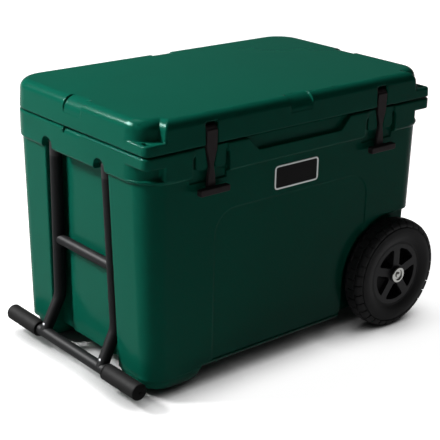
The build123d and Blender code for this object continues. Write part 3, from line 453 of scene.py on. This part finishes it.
def lathe(name, section, node, start, facing, material, steps):
    """Closed section turned round the node's axle along Y.

    The section is (radius, distance) in mm, the distance from y = start towards facing.
    """
    axle = middle(node)
    bm = bmesh.new()
    rings = []
    for i in range(steps):
        turn = 2 * pi * i / steps
        rings.append([
            bm.verts.new((
                axle.x + r * MM * cos(turn), start + facing * y * MM, axle.z + r * MM * sin(turn)
            ))
            for r, y in section
        ])
    on_axle = [r < 1e-4 for r, _ in section]
    for here, there in zip(rings, rings[1:] + rings[:1]):
        for j in range(len(section)):
            k = (j + 1) % len(section)
            if not (on_axle[j] and on_axle[k]):
                bm.faces.new((here[j], here[k], there[k], there[j]))
    piece = finish_mesh(bm, name)
    dress(piece, material)
    return piece


def rounded_outline(width, height, radius, corner_steps=8):
    """Corner-rounded rectangle round the origin, as (across, up) points."""
    points = []
    for i, (across, up) in enumerate(((1, 1), (-1, 1), (-1, -1), (1, -1))):
        for j in range(corner_steps + 1):
            turn = pi / 2 * (i + j / corner_steps)
            points.append((
                across * (width / 2 - radius) + radius * cos(turn),
                up * (height / 2 - radius) + radius * sin(turn),
            ))
    return points


def stacked_outlines(name, outlines, material):
    """Skin through outlines of equal point counts, closed at its first and last."""
    bm = bmesh.new()
    loops = [[bm.verts.new(point) for point in outline] for outline in outlines]
    for low, high in zip(loops, loops[1:]):
        for i in range(len(low)):
            j = (i + 1) % len(low)
            bm.faces.new((low[i], low[j], high[j], high[i]))
    bm.faces.new(loops[0])
    bm.faces.new(loops[-1])
    piece = finish_mesh(bm, name)
    dress(piece, material)
    return piece


# ---- geometry nodes: copies of one piece in a ring or a row --------------------------------------
def copies_tree():
    """Sets Count copies of Piece, each moved by Step and turned by Turn from the one before."""
    made = bpy.data.node_groups.get("Copies")
    if made:
        return made
    tree = bpy.data.node_groups.new("Copies", "GeometryNodeTree")
    tree.is_modifier = True
    for name, kind in (
        ("Piece", "Object"), ("Count", "Int"), ("First turn", "Vector"), ("Turn", "Vector"),
        ("Step", "Vector"), ("Centre", "Vector"), ("Finish", "Material"),
    ):
        tree.interface.new_socket(name, in_out="INPUT", socket_type="NodeSocket" + kind)
    tree.interface.new_socket("Geometry", in_out="OUTPUT", socket_type="NodeSocketGeometry")
    given = add_node(tree, "NodeGroupInput").outputs
    points = add_node(tree, "GeometryNodePoints", [("Count", given["Count"])])
    index = add_node(tree, "GeometryNodeInputIndex").outputs[0]

    def times_index(vector, plus):
        links = [(0, vector), (1, index), (2, plus)]
        node = add_node(tree, "ShaderNodeVectorMath", links, operation="MULTIPLY_ADD")
        return node.outputs[0]

    place = times_index(given["Step"], given["Centre"])
    turn = times_index(given["Turn"], given["First turn"])
    links = [("Geometry", points.outputs[0]), ("Position", place)]
    placed = add_node(tree, "GeometryNodeSetPosition", links)
    shape = add_node(tree, "GeometryNodeObjectInfo", [("Object", given["Piece"])])
    links = [
        ("Points", placed.outputs[0]), ("Instance", shape.outputs["Geometry"]), ("Rotation", turn)
    ]
    copies = add_node(tree, "GeometryNodeInstanceOnPoints", links)
    real = add_node(tree, "GeometryNodeRealizeInstances", [("Geometry", copies.outputs[0])])
    links = [("Geometry", real.outputs[0]), ("Material", given["Finish"])]
    dressed = add_node(tree, "GeometryNodeSetMaterial", links)
    add_node(tree, "NodeGroupOutput", [("Geometry", dressed.outputs[0])])
    return tree


def copies_of(
    pattern, name, count, material, first=(0, 0, 0), turn=(0, 0, 0), step=(0, 0, 0),
    centre=(0, 0, 0), crease=None,
):
    """Plain mesh of count copies of pattern, which is used up."""
    tree = copies_tree()
    piece = link(bpy.data.meshes.new(name), name)
    modifier = piece.modifiers.new("copies", "NODES")
    modifier.node_group = tree
    values = {
        "Piece": pattern, "Count": count, "First turn": first, "Turn": turn, "Step": step,
        "Centre": centre, "Finish": material,
    }
    for socket in tree.interface.items_tree:
        if socket.in_out == "INPUT":
            modifier[socket.identifier] = values[socket.name]
    plain_mesh(piece)
    bpy.data.objects.remove(pattern)
    if crease:
        piece.data.set_sharp_from_angle(angle=radians(crease))
    return piece


# ---- settings ------------------------------------------------------------------------------------
class CoolerColours(bpy.types.PropertyGroup):
    """Colours of the pieces that show."""

    shell: bpy.props.FloatVectorProperty(
        name="Shell", description="Colour of the moulded tub and lid", subtype="COLOR",
        default=linear("0B5A48"),
    )
    tube: bpy.props.FloatVectorProperty(
        name="Handle tube", description="Powder coat of the handle", subtype="COLOR",
        default=linear("1A1B1C"),
    )
    rubber: bpy.props.FloatVectorProperty(
        name="Latch rubber", description="Colour of the latches", subtype="COLOR",
        default=linear("3A3536"),
    )
    tyre: bpy.props.FloatVectorProperty(
        name="Tyre", description="Colour of the tyres", subtype="COLOR",
        default=linear("333334"),
    )
    hub: bpy.props.FloatVectorProperty(
        name="Hub", description="Colour of the wheel hubs", subtype="COLOR",
        default=linear("262628"),
    )
    grip: bpy.props.FloatVectorProperty(
        name="Grip", description="Colour of the handle's sleeve grips", subtype="COLOR",
        default=linear("1D1D1D"),
    )


class CoolerSizes(bpy.types.PropertyGroup):
    """Sizes of the details that are made here."""

    edge: bpy.props.FloatProperty(
        name="Moulded edge", description="Rounding of the skins' edges", default=2.2 * MM,
        subtype="DISTANCE", unit="LENGTH",
    )
    tread_blocks: bpy.props.IntProperty(
        name="Tread blocks", description="Rubber blocks in each row round a tyre", default=32,
        min=8,
    )
    tread_gap: bpy.props.FloatProperty(
        name="Tread gap", description="Gap between neighbouring tread blocks", default=2.1 * MM,
        subtype="DISTANCE", unit="LENGTH",
    )
    tread_depth: bpy.props.FloatProperty(
        name="Tread depth", description="Height of the tread blocks over the carcass",
        default=3.0 * MM, subtype="DISTANCE", unit="LENGTH",
    )
    plate_corner: bpy.props.FloatProperty(
        name="Plate corner", description="Corner radius of the name plate", default=7.0 * MM,
        subtype="DISTANCE", unit="LENGTH",
    )
    plate_border: bpy.props.FloatProperty(
        name="Plate border", description="Width of the plate's bright border", default=3.4 * MM,
        subtype="DISTANCE", unit="LENGTH",
    )


# ---- skins and latches ---------------------------------------------------------------------------
def foot_mould(side, skin):
    """Block round one moulded foot, hollow where the foot is, that cuts its corners round."""
    sole, top = FOOT_HEIGHTS
    steps = 14
    bends = [pi / 2 * i / steps for i in range(steps + 1)]
    levels = [(sole + (top - sole) * (1 - cos(bend)), 1 - sin(bend)) for bend in bends]
    levels = [(HOLLOW_HEIGHTS[0], 1.0)] + levels + [(HOLLOW_HEIGHTS[1], 0.0)]
    hollow = []
    for z, sink in levels:
        x0, x1, y0, y1 = (high + (low - high) * sink for low, high in zip(FOOT_SOLE, FOOT_TOP))
        corner = min(FOOT_CORNER, (x1 - x0) / 2 - 1)
        hollow.append([
            (((x0 + x1) / 2 + x) * MM, (side * (y0 + y1) / 2 + y) * MM, z * MM)
            for x, y in rounded_outline(x1 - x0, y1 - y0, corner, 12)
        ])
    x0, x1, y0, y1 = (edge * MM for edge in MOULD_OUTLINE)
    outer = [
        [(x, side * y, z * MM) for x, y in ((x0, y0), (x1, y0), (x1, y1), (x0, y1))]
        for z in MOULD_HEIGHTS
    ]
    block = stacked_outlines(f"foot_mould_{side}", outer, skin)
    cut_away(block, stacked_outlines("foot", hollow, skin))
    return block


class COOLER_OT_skins(bpy.types.Operator):
    """Tub and lid skins with softened edges."""

    bl_idname = "cooler.skins"
    bl_label = "Tub and lid skins"

    def execute(self, context):
        colours = context.scene.cooler_colours
        sizes = context.scene.cooler_sizes
        skin = rotomoulded_polyethylene("Rotomoulded polyethylene", colours.shell)
        moulds = [foot_mould(side, skin) for _, side in BOTH_SIDES]
        place_on(softened("tub_shell", "tub_skin", sizes.edge, skin, moulds), "tub_shell")
        place_on(softened("lid_shell", "lid_skin", sizes.edge, skin), "lid_shell")
        return {"FINISHED"}


class COOLER_OT_latches(bpy.types.Operator):
    """Rubber latches."""

    bl_idname = "cooler.latches"
    bl_label = "Latches"

    def execute(self, context):
        colours = context.scene.cooler_colours
        rubber = moulded_rubber("Moulded latch rubber", colours.rubber, 0.5, 0.8 * MM)
        for name in ("left", "right"):
            strap = softened(f"latch_{name}", f"latch_strap_{name}", 1.2 * MM, rubber)
            place_on(strap, f"latch_{name}")
        return {"FINISHED"}


# ---- handle --------------------------------------------------------------------------------------
def make_grip(name, facing, rubber):
    """Sleeve grip: a rolled lip at its inner end and a closed outer end with a gate mark."""
    node = f"handle_grip_{name}"
    inner, outer = ends(node, facing)
    length = abs(outer - inner) / MM
    radius = half_size(node).x / MM
    bore = half_size("handle_grip_bar").x / MM
    section = [(bore, 0), (radius - 1.6, 0)]
    # rolled lip and the neck behind it
    section += arc((radius - 0.8, 0.3), (radius, 1.6), (radius - 0.7, 3.2), 5)
    section += [(radius - 1.2, 3.8), (radius - 0.5, 5.2), (radius, 9)]
    # straight sleeve and its rounded end
    section += [(radius, length / 2), (radius, length - 4)]
    section += arc(
        (radius, length - 3), (radius - 0.7, length - 0.9), (radius - 2.6, length - 0.1), 5
    )
    # end face with the sunk gate mark, and the end's inside
    section += [(radius - 4.2, length), (2.6, length), (2.2, length - 0.7), (1.4, length - 1.5)]
    section += [(0, length - 1.7), (0, length - 1.9), (bore, length - 1.9)]
    place_on(lathe(f"sleeve_{name}", section, node, inner, facing, rubber, 48), node)


def rivet_head():
    """Domed rivet head on the +Z axis, its seat at the origin."""
    radius, height = 4.4 * MM, 2.0 * MM
    seat = -0.2  # share of the height that is sunk in the tube
    bm = bmesh.new()
    bmesh.ops.create_uvsphere(bm, u_segments=20, v_segments=10, radius=1)
    for vert in bm.verts:
        vert.co = (vert.co.x * radius, vert.co.y * radius, max(vert.co.z, seat) * height)
    return finish_mesh(bm, "rivet", 60)


def make_rivets(steel):
    """One rivet head on the outer side of each upright, just over the grip bar."""
    bar = middle("handle_grip_bar")
    upright = frame["nodes"]["handle_upright_front"].data.vertices
    lower_end = [vert.co.y for vert in upright if vert.co.z < bar.z + 16 * MM]
    y = sum(lower_end) / len(lower_end)
    outwards = (0, radians(-78), 0)
    rivets = copies_of(
        rivet_head(), "handle_rivets", 2, steel, first=outwards, step=(0, -2 * y, 0),
        centre=(bar.x - 3.2 * MM, y, bar.z + 14.5 * MM),
    )
    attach(rivets, "handle")


class COOLER_OT_handle(bpy.types.Operator):
    """Tubes, knuckles, rivets and grips of the folding handle."""

    bl_idname = "cooler.handle"
    bl_label = "Handle"

    def execute(self, context):
        colours = context.scene.cooler_colours
        coat = powder_coated_aluminium("Powder-coated aluminium", colours.tube)
        rubber = moulded_rubber("Sleeve grip rubber", colours.grip, 0.62, 1.2 * MM, 0.03)
        nylon = moulded_nylon("Knuckle nylon", linear("1F1F20"))
        steel = pressed_steel("Blackened rivet steel", linear("505152"), 0.45)
        finishes = {"handle_crossbar": coat, "handle_grip_bar": coat}
        for name, facing in BOTH_SIDES:
            finishes[f"handle_upright_{name}"] = coat
            finishes[f"handle_knuckle_{name}"] = nylon
            make_grip(name, facing, rubber)
        for node, material in finishes.items():
            place_on(softened(node, node + "_made", 0.0, material), node)
        make_rivets(steel)
        return {"FINISHED"}


# ---- wheels --------------------------------------------------------------------------------------
def tread_block(section, depth, half_turn):
    """One rubber block over the axle's +X side.

    Its outer face is the section of (radius, y) points in mm, swept by half_turn each way. It
    reaches depth mm inwards.
    """
    steps = 4
    inwards = (Vector(section[-1]) - Vector(section[0])).orthogonal().normalized()
    if inwards.x > 0:
        inwards = -inwards
    floor = [(r + inwards.x * depth, y + inwards.y * depth) for r, y in section]
    turns = [half_turn * (2 * i / steps - 1) for i in range(steps + 1)]
    bm = bmesh.new()
    low, high = (
        [
            [bm.verts.new((r * MM * cos(turn), y * MM, r * MM * sin(turn))) for r, y in outline]
            for turn in turns
        ]
        for outline in (floor, section)
    )
    across = len(section) - 1
    for rows in (low, high):
        for i in range(steps):
            for j in range(across):
                bm.faces.new((rows[i][j], rows[i + 1][j], rows[i + 1][j + 1], rows[i][j + 1]))
    border = [(0, j) for j in range(across)] + [(i, across) for i in range(steps)]
    border += [(steps, j) for j in range(across, 0, -1)] + [(i, 0) for i in range(steps, 0, -1)]
    for (i, j), (k, m) in zip(border, border[1:] + border[:1]):
        bm.faces.new((low[i][j], low[k][m], high[k][m], high[i][j]))
    block = finish_mesh(bm, "block")
    bevel = block.modifiers.new("edges", "BEVEL")
    bevel.width = 0.5 * MM
    bevel.segments = 1
    bevel.limit_method = "ANGLE"
    bevel.angle_limit = radians(50)
    return plain_mesh(block)


def make_tyre(name, sizes, rubber):
    """Tyre carcass turned from its section, a middle row of tread blocks and two shoulder rows."""
    node = f"tyre_{name}"
    centre, half = middle(node), half_size(node)
    rim, width = half.x / MM, half.y / MM
    bead = half_size(f"wheel_hub_{name}").x / MM
    depth = sizes.tread_depth / MM
    # from the bead over the bulging wall to a step under the shoulder blocks
    side = [(bead, width - 5.5), (bead + 2.5, width - 5.7)]
    side += arc((bead + 4, width - 5.2), (bead + 16, width - 0.6), (rim - 15.5, width - 1.3), 9)
    side += [(rim - 14.6, width - 1.5), (rim - 14.2, width - 3.4)]
    # from the step to the middle of the carcass
    side += arc((rim - 12.5, width - 4.6), (rim - 7, width - 7.4), (rim - depth - 1.2, 11), 6)
    side += [(rim - depth - 0.3, 6), (rim - depth, 0)]
    section = [(r, -y) for r, y in side] + side[-2::-1]
    place_on(lathe(f"tyre_wall_{name}", section, node, centre.y, 1, rubber, 96), node)
    shoulder = arc((rim - 1.2, 10.6), (rim - 3, 16.5), (rim - 12.2, width - 2.4), 5)
    crown = arc((rim - 0.6, -8.4), (rim, 0), (rim - 0.6, 8.4), 4)
    pitch = 2 * pi / sizes.tread_blocks
    half_turn = pitch / 2 - sizes.tread_gap / MM / 2 / rim
    for row, outline, phase in (
        ("inner", [(r, -y) for r, y in reversed(shoulder)], 0.5), ("middle", crown, 0.0),
        ("outer", shoulder, 0.5),
    ):
        ring = copies_of(
            tread_block(outline, depth + 1.5, half_turn), f"tread_{row}_{name}",
            sizes.tread_blocks, rubber, first=(0, phase * pitch, 0), turn=(0, pitch, 0),
            centre=centre, crease=35,
        )
        place_on(ring, node)


def make_shade_web(name, facing, nylon):
    """Thin dark disc behind the hub's spokes, dished towards the boss: painted shade, put in so that
    the spoke openings read black like the shade inside the hub.
    """
    node = f"wheel_hub_{name}"
    inner, _ = ends(node, facing)
    edge = half_size(node).x / MM - 7
    section = [(17, 7), (30, 5.5), (edge, 4), (edge, 6), (30, 7.5), (17, 9)]
    web = lathe(f"hub_web_{name}", section, node, inner, facing, nylon, 64)
    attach(web, NODE_BODY[node])


def make_push_cap(name, facing, steel):
    """Pressed cap on the axle's end: a rolled rim, a sunk ring and a dome."""
    node = f"hub_cap_{name}"
    seat, top = ends(node, facing)
    out = abs(top - seat) / MM
    radius = half_size(node).x / MM
    section = [(0, 2.2), (8.2, 2.2), (8.2, 0), (radius - 0.3, 0), (radius, 0.5)]
    # rolled rim, down into the ring
    section += arc((radius, out - 3), (radius - 0.9, out - 1.5), (radius - 2.6, out - 1), 5)
    section += arc(
        (radius - 4.2, out - 1), (radius - 5.2, out - 1.5), (radius - 5.7, out - 2.7), 4
    )
    section += [(radius - 6, out - 4), (5.8, out - 4.1), (5.5, out - 2.6)]
    # dome
    section += arc((5.2, out - 1.5), (3, out - 0.48), (0, out), 6)
    place_on(lathe(f"push_cap_{name}", section, node, seat, facing, steel, 64), node)


class COOLER_OT_wheels(bpy.types.Operator):
    """Tyres with their tread blocks, hubs and push caps."""

    bl_idname = "cooler.wheels"
    bl_label = "Wheels"

    def execute(self, context):
        colours = context.scene.cooler_colours
        sizes = context.scene.cooler_sizes
        rubber = moulded_rubber("Solid tyre rubber", colours.tyre, 0.55, 1.5 * MM)
        nylon = moulded_nylon("Moulded hub nylon", colours.hub)
        steel = pressed_steel("Bright pressed steel", linear("A9A9A6"), 0.24)
        for name, facing in BOTH_SIDES:
            make_tyre(name, sizes, rubber)
            hub = softened(f"wheel_hub_{name}", f"hub_{name}", 0.8 * MM, nylon)
            place_on(hub, f"wheel_hub_{name}")
            # painted shade: a dark disc behind the spokes makes their openings read black
            make_shade_web(name, facing, nylon)
            make_push_cap(name, facing, steel)
        return {"FINISHED"}


# ---- small parts ---------------------------------------------------------------------------------
def make_name_plate(sizes, enamel, bright):
    """Blank plate: a bright raised border round a black enamel face."""
    node = "name_plate"
    low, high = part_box(node)
    centre, half = middle(node), half_size(node)
    border = sizes.plate_border / MM
    thickness = (high.y - low.y) / MM

    def outlines(levels):
        """Outlines of the plate from (inset, distance behind its front) pairs in mm."""
        for inset, depth in levels:
            inset *= MM
            radius = max(sizes.plate_corner - inset, 0.5 * MM)
            points = rounded_outline(2 * (half.x - inset), 2 * (half.z - inset), radius)
            yield [(centre.x + x, low.y + depth * MM, centre.z + z) for x, z in points]

    rim_levels = [
        (0, thickness), (0, 0.5), (0.15, 0.15), (0.5, 0), (border - 0.4, 0), (border, 0.4),
        (border, 0.8), (border + 1, 0.9),
    ]
    face_levels = [(border - 0.3, 0.75), (border - 0.1, 0.6)]
    place_on(stacked_outlines("plate_border", outlines(rim_levels), bright), node)
    place_on(stacked_outlines("plate_face", outlines(face_levels), enamel), node)


def make_foot_pad(name, rubber):
    """Non-slip pad: a base in the foot's pocket and a row of ribs down to the ground."""
    node = f"foot_pad_{name}"
    low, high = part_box(node)
    centre, half = middle(node), half_size(node)
    rib_count, rib_share, tread, corner = 6, 0.55, 1.4 * MM, 4 * MM

    def outline(inset, z):
        points = rounded_outline(2 * (half.x - inset), 2 * (half.y - inset), corner - inset)
        return [(centre.x + x, centre.y + y, z) for x, y in points]

    levels = ((0, high.z), (0, low.z + 4.5 * MM), (2.4 * MM, low.z + tread))
    base = stacked_outlines(f"pad_base_{name}", [outline(*level) for level in levels], rubber)
    pitch = 2 * half.x / (rib_count + 0.5)
    points = rounded_outline(pitch * rib_share, 2 * half.y - 7 * MM, 1.2 * MM, 4)
    levels = ((1, tread + 0.3 * MM), (1, 0.4 * MM), (0.93, 0))
    rib = stacked_outlines(
        "rib", [[(x * size, y * size, z) for x, y in points] for size, z in levels], rubber
    )
    ribs = copies_of(
        rib, f"pad_ribs_{name}", rib_count, rubber, step=(pitch, 0, 0),
        centre=(centre.x - pitch * (rib_count - 1) / 2, centre.y, low.z), crease=40,
    )
    for piece in (base, ribs):
        place_on(piece, node)


class COOLER_OT_small_parts(bpy.types.Operator):
    """Name plate, foot pads, drain, pins, bushes, seals and foam."""

    bl_idname = "cooler.small_parts"
    bl_label = "Small parts"

    def execute(self, context):
        sizes = context.scene.cooler_sizes
        steel = pressed_steel("Turned steel", linear("A9AAAB"), 0.3)
        nylon = moulded_nylon("Bush nylon", linear("242425"))
        seal = moulded_rubber("Seal rubber", linear("1B1B1B"), 0.6, 1.0 * MM)
        foam = poured_foam("Poured foam", linear("E6DDBE"))
        enamel = stoved_enamel("Black stoved enamel", linear("0A090A"))
        bright = brushed_aluminium("Brushed aluminium", linear("A9AEAD"))
        make_name_plate(sizes, enamel, bright)
        for name, _ in BOTH_SIDES:
            make_foot_pad(name, seal)
        for node in ("drain_spout", "drain_plug"):
            place_on(softened(node, node + "_made", 0.5 * MM, nylon), node)
        by_slot = {"steel": steel, "nylon": nylon, "seal": seal, "foam": foam}
        for node, slot in NODE_SLOT.items():
            if slot in by_slot:
                dress(frame["nodes"][node], by_slot[slot])
        return {"FINISHED"}


# ---- stage ---------------------------------------------------------------------------------------
def sees_background(tree):
    """1 for rays that look at the background: straight, mirrored or through glass."""
    rays = add_node(tree, "ShaderNodeLightPath")
    seen = rays.outputs["Is Camera Ray"]
    for name in ("Is Glossy Ray", "Is Transmission Ray"):
        links = [(0, seen), (1, rays.outputs[name])]
        seen = add_node(tree, "ShaderNodeMath", links, operation="MAXIMUM").outputs[0]
    return seen


def by_ray(tree, out, lit, mirrored, straight):
    """Shows one shader to light, one to mirrored or refracted rays and one to the eye."""
    links = [(0, sees_background(tree)), (1, lit), (2, mirrored)]
    unseen = add_node(tree, "ShaderNodeMixShader", links).outputs[0]
    camera = add_node(tree, "ShaderNodeLightPath").outputs["Is Camera Ray"]
    mix = add_node(tree, "ShaderNodeMixShader", [(0, camera), (1, unseen), (2, straight)])
    tree.links.new(mix.outputs[0], out.inputs["Surface"])


def make_floor():
    """Large pale floor: white to the eye, grey by the object from its real shadow and a painted
    contact shade, matt grey to the lamps.
    """
    reach = FLOOR_REACH
    mesh = bpy.data.meshes.new("floor")
    corners = [(-reach, -reach, 0), (reach, -reach, 0), (reach, reach, 0), (-reach, reach, 0)]
    mesh.from_pydata(corners, [], [(0, 1, 2, 3)])
    floor = link(mesh, "floor")
    material, tree, out = new_material("Pale floor")
    matt = add_node(tree, "ShaderNodeBsdfDiffuse", Color=FLOOR_GREY).outputs[0]
    # painted contact shade: ambient occlusion dims the floor's glow near the object, both to the eye
    # and in mirrored rays
    shade = add_node(tree, "ShaderNodeAmbientOcclusion", Distance=CONTACT_REACH, samples=16)
    lift = add_node(
        tree, "ShaderNodeMapRange", [("Value", shade.outputs["AO"])],
        interpolation_type="SMOOTHSTEP", From_Min=CONTACT_DARK, To_Max=FLOOR_LIFT,
    )
    glow = add_node(tree, "ShaderNodeEmission", [("Strength", lift.outputs["Result"])]).outputs[0]
    both = add_node(tree, "ShaderNodeAddShader", [(0, matt), (1, glow)]).outputs[0]
    by_ray(tree, out, matt, glow, both)
    mesh.materials.append(material)


def make_world(scene):
    """Dim even room light. The eye sees white, mirrored rays a white room under a dim ceiling."""
    world = bpy.data.worlds.new("Room light")
    scene.world = world
    world.use_nodes = True
    tree = world.node_tree
    tree.nodes.clear()
    out = add_node(tree, "ShaderNodeOutputWorld")
    direction = add_node(tree, "ShaderNodeTexCoord").outputs["Generated"]
    height = add_node(tree, "ShaderNodeSeparateXYZ", [("Vector", direction)]).outputs["Z"]
    low, high = MIRRORED_WALL
    wall = add_node(
        tree, "ShaderNodeMapRange", [("Value", height)],
        From_Min=low, From_Max=high, To_Min=1.0, To_Max=ROOM_LIGHT,
    )
    links = [("Strength", wall.outputs["Result"])]
    mirrored = add_node(tree, "ShaderNodeBackground", links, Color=WHITE).outputs[0]
    straight = add_node(tree, "ShaderNodeBackground", Color=WHITE, Strength=1.0).outputs[0]
    lit = add_node(tree, "ShaderNodeBackground", Color=WHITE, Strength=ROOM_LIGHT).outputs[0]
    by_ray(tree, out, lit, mirrored, straight)


def make_lamps(scene):
    """Softbox high at the handle end, a panel there that only adds gloss, a weak softbox above."""
    for name, place, target, size, power, diffuse in LAMPS:
        light = bpy.data.lights.new(name, "AREA")
        light.shape = "RECTANGLE"
        light.size, light.size_y = size
        light.energy = power
        lamp = bpy.data.objects.new(name, light)
        scene.collection.objects.link(lamp)
        lamp.location = place
        lamp.rotation_mode = "QUATERNION"
        lamp.rotation_quaternion = (Vector(target) - Vector(place)).to_track_quat("-Z", "Y")
        lamp.visible_diffuse = diffuse


def make_camera(scene):
    """Three-quarter view from the front at the handle end, a little above the lid."""
    data = bpy.data.cameras.new("camera")
    data.sensor_width = CAMERA_SENSOR
    data.lens = CAMERA_LENS
    camera = bpy.data.objects.new("camera", data)
    scene.collection.objects.link(camera)
    down, yaw, roll = CAMERA_DOWN, CAMERA_YAW, CAMERA_ROLL
    look = Vector((cos(yaw) * cos(down), sin(yaw) * cos(down), -sin(down)))
    right = Vector((sin(yaw), -cos(yaw), 0))
    up = right.cross(look)
    right, up = cos(roll) * right + sin(roll) * up, -sin(roll) * right + cos(roll) * up
    camera.rotation_mode = "QUATERNION"
    camera.rotation_quaternion = Matrix((right, up, -look)).transposed().to_quaternion()
    camera.location = CAMERA_PLACE
    scene.camera = camera


class COOLER_OT_stage(bpy.types.Operator):
    """Floor, lamps, world and camera."""

    bl_idname = "cooler.stage"
    bl_label = "Stage"

    def execute(self, context):
        scene = context.scene
        make_floor()
        make_world(scene)
        make_lamps(scene)
        make_camera(scene)
        scene.view_settings.view_transform = "Standard"
        return {"FINISHED"}


# ---- add-on --------------------------------------------------------------------------------------
class COOLER_PT_panel(bpy.types.Panel):
    """Lists the cooler's settings and build steps."""

    bl_idname = "COOLER_PT_panel"
    bl_label = "Wheeled cooler"
    bl_space_type = "VIEW_3D"
    bl_region_type = "UI"
    bl_category = "Cooler"

    def draw(self, context):
        layout = self.layout
        for group in (context.scene.cooler_colours, context.scene.cooler_sizes):
            for name in group.__annotations__:
                layout.prop(group, name)
        for step in STEPS:
            layout.operator(step.bl_idname)


STEPS = (
    COOLER_OT_skins,
    COOLER_OT_latches,
    COOLER_OT_handle,
    COOLER_OT_wheels,
    COOLER_OT_small_parts,
    COOLER_OT_stage,
)
CLASSES = (CoolerColours, CoolerSizes) + STEPS + (COOLER_PT_panel,)


def register():
    for item in CLASSES:
        bpy.utils.register_class(item)
    bpy.types.Scene.cooler_colours = bpy.props.PointerProperty(type=CoolerColours)
    bpy.types.Scene.cooler_sizes = bpy.props.PointerProperty(type=CoolerSizes)


def unregister():
    del bpy.types.Scene.cooler_sizes
    del bpy.types.Scene.cooler_colours
    for item in reversed(CLASSES):
        bpy.utils.unregister_class(item)


def main():
    register()
    for step in STEPS:
        group, name = step.bl_idname.split(".")
        result = getattr(getattr(bpy.ops, group), name)()
        if result != {"FINISHED"}:
            raise RuntimeError(f"{step.bl_label} did not finish")


if __name__ == "__main__":
    main()
